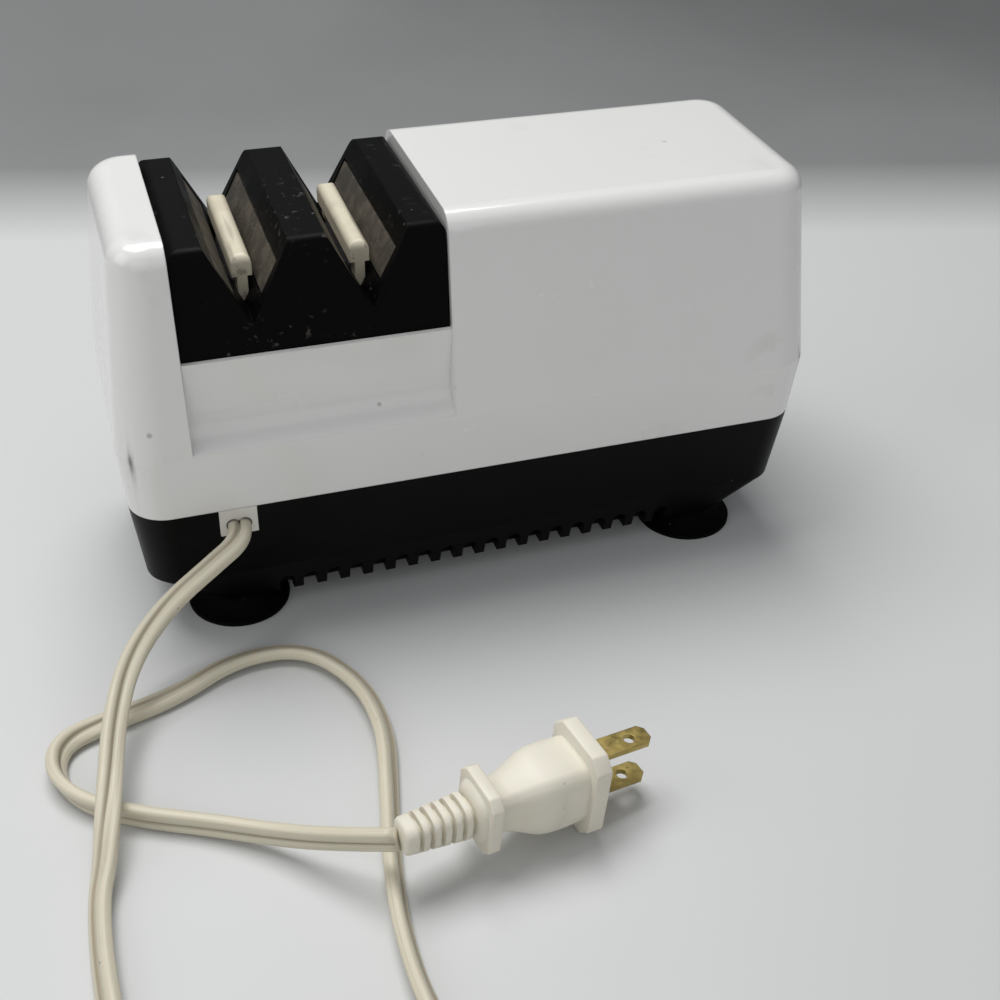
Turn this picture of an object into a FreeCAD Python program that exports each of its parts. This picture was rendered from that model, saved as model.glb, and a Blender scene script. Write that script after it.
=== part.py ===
import FreeCAD, Part
import math
import os
import Sketcher

# Electric knife sharpener with two knife slots, a white cover, a black base tray and a flat twin lead.
# Millimetres. X runs along the length, the slots at -X and the motor at +X.
# The lead leaves the -Y side, the switch is on the +Y side, Z is up and the feet stand on z = 0.

document = FreeCAD.newDocument("knife_sharpener")
sheet = document.addObject("Spreadsheet::Sheet", "Sizes")


class Size:
    """A length that knows its number and the sheet formula that gives it."""

    def __init__(self, value, text):
        self.value = value
        self.text = text

    def __add__(self, other):
        other = as_size(other)
        return Size(self.value + other.value, f"({self.text} + {other.text})")

    def __sub__(self, other):
        other = as_size(other)
        return Size(self.value - other.value, f"({self.text} - {other.text})")

    def __mul__(self, other):
        other = as_size(other)
        return Size(self.value * other.value, f"({self.text} * {other.text})")

    def __truediv__(self, other):
        other = as_size(other)
        return Size(self.value / other.value, f"({self.text} / {other.text})")

    def __neg__(self):
        return Size(-self.value, f"(0 - {self.text})")

    __radd__ = __add__
    __rmul__ = __mul__

    def __rsub__(self, other):
        return as_size(other) - self


def as_size(item):
    if isinstance(item, Size):
        return item
    return Size(float(item), f"({float(item)})")


def size(name, value):
    """Write one driving dimension into the sheet."""
    size.row += 1
    sheet.set(f"A{size.row}", name)
    sheet.set(f"B{size.row}", str(value))
    sheet.setAlias(f"B{size.row}", name)
    return Size(float(value), f"Sizes.{name}")


size.row = 0

# Driving dimensions

# Housing, read at four heights: tray bottom, lower bevel line, seam and widest line, then the top
feet_height = size("feet_height", 6)
bevel_height = size("bevel_height", 18)
seam_height = size("seam_height", 43)
wide_height = size("wide_height", 62.4)
total_height = size("total_height", 120)
bottom_half_length = size("bottom_half_length", 83.5)
bottom_half_depth = size("bottom_half_depth", 34)
bevel_half_length = size("bevel_half_length", 99.5)
bevel_half_depth = size("bevel_half_depth", 37.3)
seam_half_length = size("seam_half_length", 102)
seam_half_depth = size("seam_half_depth", 40)
wide_half_length = size("wide_half_length", 103)
wide_half_depth = size("wide_half_depth", 41.4)
top_half_length = size("top_half_length", 97.4)
top_half_depth = size("top_half_depth", 32.2)
corner_radius = size("corner_radius", 11)
top_edge_radius = size("top_edge_radius", 6.5)
wall = size("wall", 2.5)
seat_gap = size("seat_gap", 0.3)
press_gap = size("press_gap", 0.03)
run_gap = size("run_gap", 0.05)

# Bay that holds the guide insert, with its ledge and the hollow below it
bay_left = size("bay_left", -83.5)
bay_right = size("bay_right", -10.4)
ledge_height = size("ledge_height", 88.8)
ledge_thickness = size("ledge_thickness", 2.6)
ledge_opening_half_depth = size("ledge_opening_half_depth", 27)
scoop_depth = size("scoop_depth", 4.2)
scoop_radius = size("scoop_radius", 11)
scoop_turn_height = size("scoop_turn_height", 73)
lip_radius = size("lip_radius", 1.1)

# Guide insert with its two knife slots
insert_height = size("insert_height", 28.9)
insert_setback = size("insert_setback", 1.6)
insert_wall = size("insert_wall", 2.8)
insert_edge_radius = size("insert_edge_radius", 3)
slot_left_x = size("slot_left_x", -63.5)
slot_pitch = size("slot_pitch", 31.8)
slot_half_width = size("slot_half_width", 10.9)
slot_depth = size("slot_depth", 21.2)
abrasive_gate_half_width = size("abrasive_gate_half_width", 3.2)
abrasive_gate_half_length = size("abrasive_gate_half_length", 16)
plate_thickness = size("plate_thickness", 1)
plate_recess = size("plate_recess", 1.3)
plate_half_length = size("plate_half_length", 29.5)
plate_top_drop = size("plate_top_drop", 5.6)
magnet_width = size("magnet_width", 6)
magnet_thickness = size("magnet_thickness", 2)
magnet_half_length = size("magnet_half_length", 20)

# Guard bars over the abrasive wedges
bar_top_drop = size("bar_top_drop", 8.2)
bar_half_length = size("bar_half_length", 20.5)
bar_width = size("bar_width", 5.4)
bar_cap_height = size("bar_cap_height", 5.8)
bar_edge_radius = size("bar_edge_radius", 2.2)
bar_stem_width = size("bar_stem_width", 2.8)
bar_leg_length = size("bar_leg_length", 4)
bar_leg_height = size("bar_leg_height", 8.7)

# Orbiting carriage, its two crankshafts and the gears
shaft_height = size("shaft_height", 70)
crank_spacing = size("crank_spacing", 36)
orbit_radius = size("orbit_radius", 1)
crank_radius = size("crank_radius", 3)
eccentric_radius = size("eccentric_radius", 5)
gear_module = size("gear_module", 0.75)
crank_gear_teeth = 36
pinion_teeth = 12
gear_width = size("gear_width", 5)
gear_x = size("gear_x", -10.5)
left_plate_x = size("left_plate_x", -80)
right_plate_x = size("right_plate_x", -17)
frame_plate_thickness = size("frame_plate_thickness", 3)
frame_plate_top = size("frame_plate_top", 83)
frame_plate_half_depth = size("frame_plate_half_depth", 30)
frame_foot_half_depth = size("frame_foot_half_depth", 19)
bush_radius = size("bush_radius", 4.5)
bush_length = size("bush_length", 5)
carriage_left = size("carriage_left", -73)
carriage_right = size("carriage_right", -21)
carriage_plate_thickness = size("carriage_plate_thickness", 3)
carriage_plate_height = size("carriage_plate_height", 81)
carriage_half_depth = size("carriage_half_depth", 26)
ear_thickness = size("ear_thickness", 6)
ear_drop = size("ear_drop", 19)
carriage_bush_radius = size("carriage_bush_radius", 6.5)
wedge_half_length = size("wedge_half_length", 14.5)
wedge_top_half_width = size("wedge_top_half_width", 1)
wedge_foot_half_width = size("wedge_foot_half_width", 2)
wedge_clearance = size("wedge_clearance", 0.8)
abrasive_thickness = size("abrasive_thickness", 0.5)
spacer_radius = size("spacer_radius", 3)
spacer_height = size("spacer_height", 48)
spacer_y = size("spacer_y", 22)

# Skeleton motor with its rotor along X
stator_left = size("stator_left", 22)
stator_length = size("stator_length", 24)
stator_half_width = size("stator_half_width", 27)
stator_top = size("stator_top", 92)
stator_foot = size("stator_foot", 28)
stator_bore = size("stator_bore", 13.6)
stator_corner = size("stator_corner", 5)
window_half_width = size("window_half_width", 16)
window_floor = size("window_floor", 38)
window_top = size("window_top", 52)
coil_overhang = size("coil_overhang", 8)
coil_below = size("coil_below", 9)
coil_corner = size("coil_corner", 4)
bolt_spread = size("bolt_spread", 22)
motor_screw_seat = size("motor_screw_seat", 14)
motor_screw_length = size("motor_screw_length", 21)
bolt_rise = size("bolt_rise", 16.5)
bolt_radius = size("bolt_radius", 1.5)
bolt_head_radius = size("bolt_head_radius", 3)
bolt_head_height = size("bolt_head_height", 2)
bracket_gap = size("bracket_gap", 11)
bracket_thickness = size("bracket_thickness", 2.5)
motor_bush_radius = size("motor_bush_radius", 5)
motor_bush_length = size("motor_bush_length", 8)
rotor_radius = size("rotor_radius", 13.2)
motor_shaft_radius = size("motor_shaft_radius", 2.5)
fan_x = size("fan_x", 66)
fan_width = size("fan_width", 9)
fan_radius = size("fan_radius", 22)
fan_hub_radius = size("fan_hub_radius", 6)
fan_blades = 8
fan_blade_thickness = size("fan_blade_thickness", 1.6)

# Rocker switch on the +Y side
switch_x = size("switch_x", 50)
switch_height = size("switch_height", 80)
switch_width = size("switch_width", 13)
switch_tall = size("switch_tall", 19)
switch_depth = size("switch_depth", 10)
bezel_margin = size("bezel_margin", 1.2)
bezel_thickness = size("bezel_thickness", 1.6)
rocker_swing = size("rocker_swing", 9)

# Tray details, feet and screws
foot_end_inset = size("foot_end_inset", 9.9)
foot_side_inset = size("foot_side_inset", 8.8)
foot_radius = size("foot_radius", 15.1)
foot_neck_radius = size("foot_neck_radius", 5.5)
foot_stem_radius = size("foot_stem_radius", 3)
vent_count = 18
vent_pitch = size("vent_pitch", 7.1)
vent_width = size("vent_width", 4.2)
vent_rise = size("vent_rise", 6.4)
vent_inset = size("vent_inset", 7)
tongue_height = size("tongue_height", 2.4)
tongue_thickness = size("tongue_thickness", 1.3)
screw_end_inset = size("screw_end_inset", 12)
screw_side_inset = size("screw_side_inset", 13.5)
screw_column_radius = size("screw_column_radius", 4)
screw_radius = size("screw_radius", 1.5)
screw_head_radius = size("screw_head_radius", 2.8)
screw_head_height = size("screw_head_height", 2)
screw_seat_height = size("screw_seat_height", 20)
screw_length = size("screw_length", 38)
boss_height = size("boss_height", 28)
rib_thickness = size("rib_thickness", 1.6)

# Lead: flat twin cord of 6.4 by 3.2 mm, drawn as a round tube of its width
cord_diameter = size("cord_diameter", 6.4)
gland_inset = size("gland_inset", 28.8)
gland_width = size("gland_width", 10.6)
gland_drop = size("gland_drop", 8.6)
gland_collar = size("gland_collar", 1.8)
gland_depth = size("gland_depth", 8)
coil_x = size("coil_x", -92)
coil_y = size("coil_y", -226)
coil_mean_radius = size("coil_mean_radius", 36.5)
coil_turns_across = 3
coil_layers = 2
plug_flange_thickness = size("plug_flange_thickness", 4.5)
plug_flange_half_height = size("plug_flange_half_height", 13.2)
plug_flange_half_width = size("plug_flange_half_width", 10.6)
plug_height = size("plug_height", 13.4)
plug_x = size("plug_x", -4)
plug_y = size("plug_y", -134.3)
blade_length = size("blade_length", 17.5)
blade_width = size("blade_width", 6.35)
blade_thickness = size("blade_thickness", 1.5)
blade_spacing = size("blade_spacing", 12.7)
blade_hole = size("blade_hole", 1.55)

# Sizes that follow from the driving ones
front_draft = (wide_half_depth - top_half_depth) / (total_height - wide_height)
end_draft = (wide_half_length - top_half_length) / (total_height - wide_height)
bay_length = bay_right - bay_left
bay_middle = (bay_left + bay_right) / 2
insert_top = ledge_height + insert_height
slot_right_x = slot_left_x + slot_pitch
slot_floor = insert_top - slot_depth
slot_slope = slot_half_width / slot_depth
plate_top = insert_top - plate_top_drop
bar_top = insert_top - bar_top_drop
bar_cap_floor = bar_top - bar_cap_height
bar_foot = bar_cap_floor - bar_leg_height
crank_y = crank_spacing / 2
carriage_height = carriage_plate_height - orbit_radius
pin_height = shaft_height - orbit_radius
tray_floor = feet_height + wall
foot_x = bottom_half_length - foot_end_inset
foot_y = bottom_half_depth - foot_side_inset
screw_x = seam_half_length - screw_end_inset
screw_y = seam_half_depth - screw_side_inset
gland_x = gland_inset - seam_half_length
column_foot = bevel_height - 1.5 * wall
stator_right = stator_left + stator_length
motor_screw_places = [(stator_left + stator_length / 2, bolt_spread), (stator_left + stator_length / 2, -bolt_spread)]


def outer_half_depth(height):
    """Half depth of the cover at a height above its widest line."""
    return wide_half_depth - front_draft * (height - wide_height)


document.recompute()
sub_parts = []


def keep(item, label):
    """Name a finished sub-part."""
    item.Label = label
    sub_parts.append(item)
    return item


def drive(item, name, value):
    """Bind a property to a sheet formula."""
    item.setExpression(name, as_size(value).text)


def place(item, x=0, y=0, z=0, rotation=None):
    if rotation is not None:
        item.Placement = FreeCAD.Placement(FreeCAD.Vector(0, 0, 0), rotation)
    drive(item, "Placement.Base.x", x)
    drive(item, "Placement.Base.y", y)
    drive(item, "Placement.Base.z", z)
    return item


def new_body(name):
    return document.addObject("PartDesign::Body", name)


def new_sketch(body, name, role="XY_Plane", offset=0):
    plane = [item for item in body.Origin.OriginFeatures if item.Role == role][0]
    sketch = body.newObject("Sketcher::SketchObject", name)
    sketch.AttachmentSupport = [(plane, "")]
    sketch.MapMode = "FlatFace"
    drive(sketch, ".AttachmentOffset.Base.z", offset)
    return sketch


def pin_point(sketch, edge, end, x, y):
    """Hold one point of a sketch at a place measured from its origin."""
    for kind, value in (("DistanceX", x), ("DistanceY", y)):
        value = as_size(value)
        index = sketch.addConstraint(Sketcher.Constraint(kind, -1, 1, edge, end, value.value))
        sketch.setExpression(f"Constraints[{index}]", value.text)


def set_radius(sketch, edge, radius):
    radius = as_size(radius)
    index = sketch.addConstraint(Sketcher.Constraint("Radius", edge, radius.value))
    sketch.setExpression(f"Constraints[{index}]", radius.text)


def draw_outline(sketch, corners):
    """Closed outline. A corner is (x, y), or (x, y, r) where an arc of radius r arrives.

    A positive r turns left on the way to the corner, a negative r turns right.
    """
    numbers = [(as_size(corner[0]).value, as_size(corner[1]).value) for corner in corners]
    ends = []
    for index, corner in enumerate(corners):
        start = FreeCAD.Vector(*numbers[index - 1], 0)
        finish = FreeCAD.Vector(*numbers[index], 0)
        if len(corner) == 2:
            edge = sketch.addGeometry(Part.LineSegment(start, finish))
            ends.append((edge, 1, 2))
            continue
        radius = as_size(corner[2]).value
        chord = finish - start
        rise = math.sqrt(max(radius ** 2 - chord.Length ** 2 / 4, 0))
        side = FreeCAD.Vector(-chord.y, chord.x, 0).normalize()
        centre = (start + finish) / 2 + side * math.copysign(rise, radius)
        circle = Part.Circle(centre, FreeCAD.Vector(0, 0, 1), abs(radius))
        first, last = (start, finish) if radius > 0 else (finish, start)
        angles = [math.atan2(point.y - centre.y, point.x - centre.x) for point in (first, last)]
        edge = sketch.addGeometry(Part.ArcOfCircle(circle, angles[0], angles[1]))
        ends.append((edge, 1, 2) if radius > 0 else (edge, 2, 1))
        set_radius(sketch, edge, corner[2] if radius > 0 else -corner[2])
    for index, corner in enumerate(corners):
        edge, _, finish_end = ends[index]
        next_edge, next_start, _ = ends[(index + 1) % len(corners)]
        sketch.addConstraint(Sketcher.Constraint("Coincident", edge, finish_end, next_edge, next_start))
        pin_point(sketch, edge, finish_end, corner[0], corner[1])


def draw_rounded(sketch, left, right, front, back, radius):
    """Rectangle with round corners, from its four sides and its corner radius."""
    draw_outline(sketch, [
        (left + radius, front),
        (right - radius, front),
        (right, front + radius, radius),
        (right, back - radius),
        (right - radius, back, radius),
        (left + radius, back),
        (left, back - radius, radius),
        (left, front + radius),
        (left + radius, front, radius),
    ][1:])


def draw_circle(sketch, x, y, radius):
    value = as_size(radius)
    centre = FreeCAD.Vector(as_size(x).value, as_size(y).value, 0)
    edge = sketch.addGeometry(Part.Circle(centre, FreeCAD.Vector(0, 0, 1), value.value))
    pin_point(sketch, edge, 3, x, y)
    set_radius(sketch, edge, value)


def add_pad(body, name, sketch, length, both_ways=False, backwards=False):
    pad = body.newObject("PartDesign::Pad", name)
    pad.Profile = sketch
    pad.SideType = "Symmetric" if both_ways else "One side"
    pad.Reversed = backwards
    drive(pad, "Length", length)
    return pad


def add_pocket(body, name, sketch, length, both_ways=False, backwards=False):
    pocket = body.newObject("PartDesign::Pocket", name)
    pocket.Profile = sketch
    pocket.SideType = "Symmetric" if both_ways else "One side"
    pocket.Reversed = backwards
    drive(pocket, "Length", length)
    return pocket


def add_loft(body, name, sketches, cut=False):
    kind = "PartDesign::SubtractiveLoft" if cut else "PartDesign::AdditiveLoft"
    loft = body.newObject(kind, name)
    loft.Profile = sketches[0]
    loft.Sections = sketches[1:]
    loft.Ruled = True
    return loft


def add_fillet(body, name, test, radius, kind="PartDesign::Fillet"):
    """Round the edges of the body so far whose every vertex passes the test."""
    document.recompute()
    base = body.Tip
    names = [
        f"Edge{index + 1}"
        for index, edge in enumerate(base.Shape.Edges)
        if all(test(vertex.Point) for vertex in edge.Vertexes)
    ]
    fillet = body.newObject(kind, name)
    fillet.Base = (base, names)
    drive(fillet, "Size" if kind.endswith("Chamfer") else "Radius", radius)
    return fillet


def close_to(first, second):
    return abs(first - as_size(second).value) < 0.01


def new_box(name, length, depth, height, x, y, z):
    item = document.addObject("Part::Box", name)
    drive(item, "Length", length)
    drive(item, "Width", depth)
    drive(item, "Height", height)
    return place(item, x, y, z)


ALONG_X = FreeCAD.Rotation(FreeCAD.Vector(0, 1, 0), 90)
ALONG_Y = FreeCAD.Rotation(FreeCAD.Vector(1, 0, 0), -90)
ALONG_Z = FreeCAD.Rotation()


def new_rod(name, radius, length, x, y, z, turn=ALONG_X):
    """Cylinder that starts at the given point and runs along an axis."""
    item = document.addObject("Part::Cylinder", name)
    drive(item, "Radius", radius)
    drive(item, "Height", length)
    return place(item, x, y, z, turn)


def new_fuse(name, pieces):
    item = document.addObject("Part::MultiFuse", name)
    item.Shapes = pieces
    return item


def new_cut(name, base, tools):
    tool = tools[0] if len(tools) == 1 else new_fuse(f"{name}_tools", tools)
    item = document.addObject("Part::Cut", name)
    item.Base = base
    item.Tool = tool
    return item


def new_group(name, pieces):
    item = document.addObject("Part::Compound", name)
    item.Links = pieces
    return item


# Base tray: black moulding with bevelled lower edge, vents, screw columns and posts

def housing_section(body, name, height, half_length, half_depth, radius):
    sketch = new_sketch(body, name, "XY_Plane", height)
    draw_rounded(sketch, -half_length, half_length, -half_depth, half_depth, radius)
    return sketch


def make_base_tray():
    body = new_body("base_tray")
    bottom = housing_section(body, "tray_bottom", feet_height, bottom_half_length,
                             bottom_half_depth, corner_radius - 3)
    bevel = housing_section(body, "tray_bevel", bevel_height, bevel_half_length,
                            bevel_half_depth, corner_radius - 1)
    seam = housing_section(body, "tray_seam", seam_height, seam_half_length,
                           seam_half_depth, corner_radius)
    add_loft(body, "tray_lower", [bottom, bevel])
    add_loft(body, "tray_upper", [bevel, seam])
    inner_radius = corner_radius - wall
    inner_bottom = housing_section(body, "inner_bottom", tray_floor, bottom_half_length,
                                   bottom_half_depth - 0.9 * wall, inner_radius - 3)
    inner_bevel = housing_section(body, "inner_bevel", bevel_height, bevel_half_length - 1.2 * wall,
                                  bevel_half_depth - wall, inner_radius - 1)
    inner_seam = housing_section(body, "inner_seam", seam_height, seam_half_length - wall,
                                 seam_half_depth - wall, inner_radius)
    add_loft(body, "hollow_lower", [inner_bottom, inner_bevel], cut=True)
    add_loft(body, "hollow_upper", [inner_bevel, inner_seam], cut=True)
    add_tongue(body)
    add_tray_columns(body)
    add_tray_openings(body)
    return keep(body, "base_tray")


def add_tongue(body):
    """Rim that stands inside the cover and keeps the two mouldings in line."""
    outer_step = wall + seat_gap
    inner_step = outer_step + tongue_thickness
    for name, low, rise, step in (("tongue_root", seam_height - 2 * tongue_height, 2 * tongue_height, wall / 2),
                                  ("tongue", seam_height, tongue_height, outer_step)):
        sketch = new_sketch(body, name + "_ring", "XY_Plane", low)
        draw_rounded(sketch, step - seam_half_length, seam_half_length - step,
                     step - seam_half_depth, seam_half_depth - step, corner_radius - step)
        draw_rounded(sketch, inner_step - seam_half_length, seam_half_length - inner_step,
                     inner_step - seam_half_depth, seam_half_depth - inner_step, corner_radius - inner_step)
        add_pad(body, name, sketch, rise)


def four_corners(x, y):
    return [(x, y), (-x, y), (-x, -y), (x, -y)]


def add_tray_columns(body):
    """Screw columns at the corners, motor posts and the sockets of the frame plates."""
    columns = new_sketch(body, "column_rings", "XY_Plane", column_foot)
    for x, y in four_corners(screw_x, screw_y):
        draw_circle(columns, x, y, screw_column_radius)
    add_pad(body, "columns", columns, seam_height - column_foot)
    posts = new_sketch(body, "motor_post_outlines", "XY_Plane", tray_floor)
    for side in (-1, 1):
        inner = side * (window_half_width + 3)
        outer = side * stator_half_width
        low, high = (inner, outer) if side > 0 else (outer, inner)
        draw_outline(posts, [(stator_left, low), (stator_right, low), (stator_right, high), (stator_left, high)])
    add_pad(body, "motor_posts", posts, stator_foot - tray_floor)
    sockets = new_sketch(body, "socket_outlines", "XY_Plane", tray_floor - 0.5)
    for plate_x in (left_plate_x, right_plate_x):
        for side in (-1, 1):
            edge = plate_x - seat_gap if side < 0 else plate_x + frame_plate_thickness + seat_gap
            far = edge + side * rib_thickness
            low, high = (far, edge) if side < 0 else (edge, far)
            half = frame_foot_half_depth
            draw_outline(sockets, [(low, -half), (high, -half), (high, half), (low, half)])
    add_pad(body, "sockets", sockets, 8)


def add_tray_openings(body):
    """Vent slots through both lower edges, the lead's notch, foot holes and screw holes."""
    vent_span = (vent_count - 1) * vent_pitch
    vent_top = feet_height + vent_rise
    for side, name in ((-1, "front"), (1, "back")):
        sketch = new_sketch(body, f"vent_{name}", "XZ_Plane", -side * (bevel_half_depth + 1))
        left = -vent_span / 2 - vent_width / 2
        right = left + vent_width
        draw_outline(sketch, [
            (left, feet_height - 1),
            (right, feet_height - 1),
            (right, vent_top - vent_width / 2),
            (left, vent_top - vent_width / 2, vent_width / 2 + 0.001),
        ])
        pocket = add_pocket(body, f"vent_{name}_cut", sketch, vent_inset + 1, backwards=side > 0)
        pattern = body.newObject("PartDesign::LinearPattern", f"vents_{name}")
        pattern.Originals = [pocket]
        pattern.Direction = (sketch, ["H_Axis"])
        drive(pattern, "Length", vent_span)
        pattern.Occurrences = vent_count
        body.Tip = pattern
    notch = new_sketch(body, "notch_outline", "XZ_Plane", seam_half_depth + 1)
    left = gland_x - gland_width / 2 - run_gap
    right = gland_x + gland_width / 2 + run_gap
    draw_outline(notch, [(left, seam_height - gland_drop), (right, seam_height - gland_drop),
                         (right, seam_height + tongue_height + 1), (left, seam_height + tongue_height + 1)])
    add_pocket(body, "notch", notch, seam_half_depth - bevel_half_depth + 2 * wall + 3)
    holes = new_sketch(body, "foot_holes_outline", "XY_Plane", feet_height - 1)
    for x, y in four_corners(foot_x, foot_y):
        draw_circle(holes, x, y, foot_stem_radius + run_gap)
    add_pocket(body, "foot_holes", holes, wall + 2, backwards=True)
    for name, places, seat, top in (("base", four_corners(screw_x, screw_y), screw_seat_height, seam_height),
                                    ("motor", motor_screw_places, motor_screw_seat, stator_foot)):
        shanks = new_sketch(body, f"{name}_screw_holes_outline", "XY_Plane", feet_height)
        heads = new_sketch(body, f"{name}_screw_heads_outline", "XY_Plane", feet_height)
        for x, y in places:
            draw_circle(shanks, x, y, screw_radius + run_gap)
            draw_circle(heads, x, y, screw_head_radius + seat_gap)
        add_pocket(body, f"{name}_screw_holes", shanks, top - feet_height, backwards=True)
        add_pocket(body, f"{name}_screw_heads", heads, seat - feet_height, backwards=True)


# Top cover: white moulding with the bay, the scooped finger rests and the switch window

def make_top_cover():
    body = new_body("top_cover")
    seam = housing_section(body, "cover_seam", seam_height, seam_half_length, seam_half_depth, corner_radius)
    wide = housing_section(body, "cover_wide", wide_height, wide_half_length, wide_half_depth,
                           corner_radius + 0.5)
    top = housing_section(body, "cover_top", total_height, top_half_length, top_half_depth, corner_radius - 1)
    add_loft(body, "cover_band", [seam, wide])
    add_loft(body, "cover_upper", [wide, top])
    add_fillet(body, "top_rounding", lambda point: close_to(point.z, total_height), top_edge_radius)
    add_bay(body)
    add_switch_window(body)
    add_cover_hollows(body)
    add_cover_bosses(body)
    return keep(body, "top_cover")


def add_bay(body):
    bay = new_sketch(body, "bay_outline", "XZ_Plane")
    draw_outline(bay, [(bay_left, ledge_height), (bay_right, ledge_height),
                       (bay_right, total_height + 1), (bay_left, total_height + 1)])
    add_pocket(body, "bay", bay, 2 * wide_half_depth, both_ways=True)
    lip = outer_half_depth(ledge_height) - 0.3
    bottom = wide_half_depth - 0.1
    turn = outer_half_depth(scoop_turn_height) - scoop_depth
    for side, name in ((-1, "front"), (1, "back")):
        sketch = new_sketch(body, f"scoop_{name}", "YZ_Plane", bay_middle)
        draw_outline(sketch, [
            (side * lip, ledge_height + 1),
            (side * turn, scoop_turn_height),
            (side * bottom, wide_height + 1, side * scoop_radius),
            (side * (wide_half_depth + 4), wide_height + 1),
            (side * (wide_half_depth + 4), ledge_height + 1),
        ])
        add_pocket(body, f"scoop_{name}_cut", sketch, bay_length, both_ways=True)


def add_switch_window(body):
    window = new_sketch(body, "switch_window_outline", "XZ_Plane", -wide_half_depth - 1)
    half = switch_width / 2 + seat_gap
    tall = switch_tall / 2 + 2 * seat_gap
    draw_outline(window, [(switch_x - half, switch_height - tall), (switch_x + half, switch_height - tall),
                          (switch_x + half, switch_height + tall), (switch_x - half, switch_height + tall)])
    add_pocket(body, "switch_window", window, 4 * wall, backwards=True)


def add_cover_hollows(body):
    """Hollows of the left tower and the motor end, the space under the bay and its opening."""
    under_ledge = ledge_height - ledge_thickness
    middle = new_sketch(body, "middle_hollow_outline", "YZ_Plane", bay_middle)
    seam_inner = seam_half_depth - wall
    narrow = outer_half_depth(scoop_turn_height) - scoop_depth - wall
    draw_outline(middle, [
        (-seam_inner, seam_height - 1), (seam_inner, seam_height - 1),
        (seam_inner + 0.6, wide_height - 6), (narrow, scoop_turn_height - 6),
        (narrow, under_ledge), (-narrow, under_ledge),
        (-narrow, scoop_turn_height - 6), (-seam_inner - 0.6, wide_height - 6),
    ])
    add_pocket(body, "middle_hollow", middle, bay_length + 3 * wall, both_ways=True)
    seam_ring = new_sketch(body, "seam_hollow_outline", "XY_Plane", seam_height)
    rim = wall + seat_gap / 3
    draw_rounded(seam_ring, rim - seam_half_length, seam_half_length - rim, rim - seam_half_depth,
                 seam_half_depth - rim, corner_radius - rim)
    add_pocket(body, "seam_hollow", seam_ring, 3 * tongue_height, backwards=True)
    opening = new_sketch(body, "ledge_opening_outline", "XY_Plane", under_ledge - 1)
    draw_rounded(opening, bay_left + wall, bay_right - wall, -ledge_opening_half_depth,
                 ledge_opening_half_depth, as_size(4))
    add_pocket(body, "ledge_opening", opening, ledge_thickness + 2, backwards=True)
    hollow_top = total_height - wall
    top_step = wall + end_draft * wall
    for name, at_seam, at_wide, at_top in (
            ("motor_end", (bay_right + wall, seam_half_length - wall), (bay_right + wall, wide_half_length - wall),
             (bay_right + wall, top_half_length - top_step)),
            ("tower", (wall - seam_half_length, bay_left - wall), (wall - wide_half_length, bay_left - wall),
             (top_step - top_half_length, bay_left - wall))):
        sections = []
        for level, height, (left, right), half_depth in (
                ("seam", seam_height, at_seam, seam_half_depth - wall),
                ("wide", wide_height, at_wide, wide_half_depth - wall),
                ("top", hollow_top, at_top, top_half_depth - wall)):
            sketch = new_sketch(body, f"{name}_{level}", "XY_Plane", height)
            draw_rounded(sketch, left, right, -half_depth, half_depth, as_size(3))
            sections.append(sketch)
        add_loft(body, f"{name}_hollow_band", sections[:2], cut=True)
        add_loft(body, f"{name}_hollow", sections[1:], cut=True)


def add_cover_bosses(body):
    rings = new_sketch(body, "boss_rings", "XY_Plane", seam_height)
    ribs = new_sketch(body, "boss_ribs_outline", "XY_Plane", seam_height + 2 * tongue_height)
    holes = new_sketch(body, "boss_holes_outline", "XY_Plane", seam_height)
    for x, y in four_corners(screw_x, screw_y):
        draw_circle(rings, x, y, screw_column_radius)
        draw_circle(holes, x, y, screw_radius + run_gap)
        outer = (seam_half_depth - wall / 2) if y.value > 0 else (wall / 2 - seam_half_depth)
        low, high = (y, outer) if y.value > 0 else (outer, y)
        draw_outline(ribs, [(x - rib_thickness / 2, low), (x + rib_thickness / 2, low),
                            (x + rib_thickness / 2, high), (x - rib_thickness / 2, high)])
    add_pad(body, "bosses", rings, boss_height)
    add_pad(body, "boss_ribs", ribs, boss_height - 2 * tongue_height)
    add_pocket(body, "boss_holes", holes, boss_height - 2, backwards=True)


# Guide insert: black moulding with two V slots, recesses for the guide plates and gates for the wedges

def make_guide_insert():
    body = new_body("guide_insert")
    left = bay_left + seat_gap
    right = bay_right - seat_gap
    block = new_sketch(body, "insert_outline", "XZ_Plane")
    draw_outline(block, [(left, ledge_height), (right, ledge_height), (right, insert_top), (left, insert_top)])
    low_half = outer_half_depth(ledge_height) - insert_setback
    high_half = outer_half_depth(insert_top) - insert_setback
    add_pad(body, "insert_block", block, 2 * low_half, both_ways=True)
    for side, name in ((-1, "front"), (1, "back")):
        slope = new_sketch(body, f"slope_{name}", "YZ_Plane", bay_middle)
        draw_outline(slope, [(side * low_half, ledge_height), (side * (low_half + 2), ledge_height),
                             (side * (low_half + 2), insert_top + 1), (side * high_half, insert_top + 1),
                             (side * high_half, insert_top)])
        add_pocket(body, f"slope_{name}_cut", slope, bay_length + 2, both_ways=True)
    add_fillet(body, "insert_rounding",
               lambda point: close_to(point.z, insert_top) and close_to(abs(point.y), high_half),
               insert_edge_radius)
    slots = new_sketch(body, "slots_outline", "XZ_Plane")
    over = as_size(2)
    for centre in (slot_left_x, slot_right_x):
        draw_outline(slots, [(centre, slot_floor), (centre + slot_half_width, insert_top),
                             (centre + slot_half_width, insert_top + over),
                             (centre - slot_half_width, insert_top + over),
                             (centre - slot_half_width, insert_top)])
    add_pocket(body, "slots", slots, 2 * low_half + 2, both_ways=True)
    add_insert_hollow(body, left, right, high_half)
    add_insert_recesses(body)
    return keep(body, "guide_insert")


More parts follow.
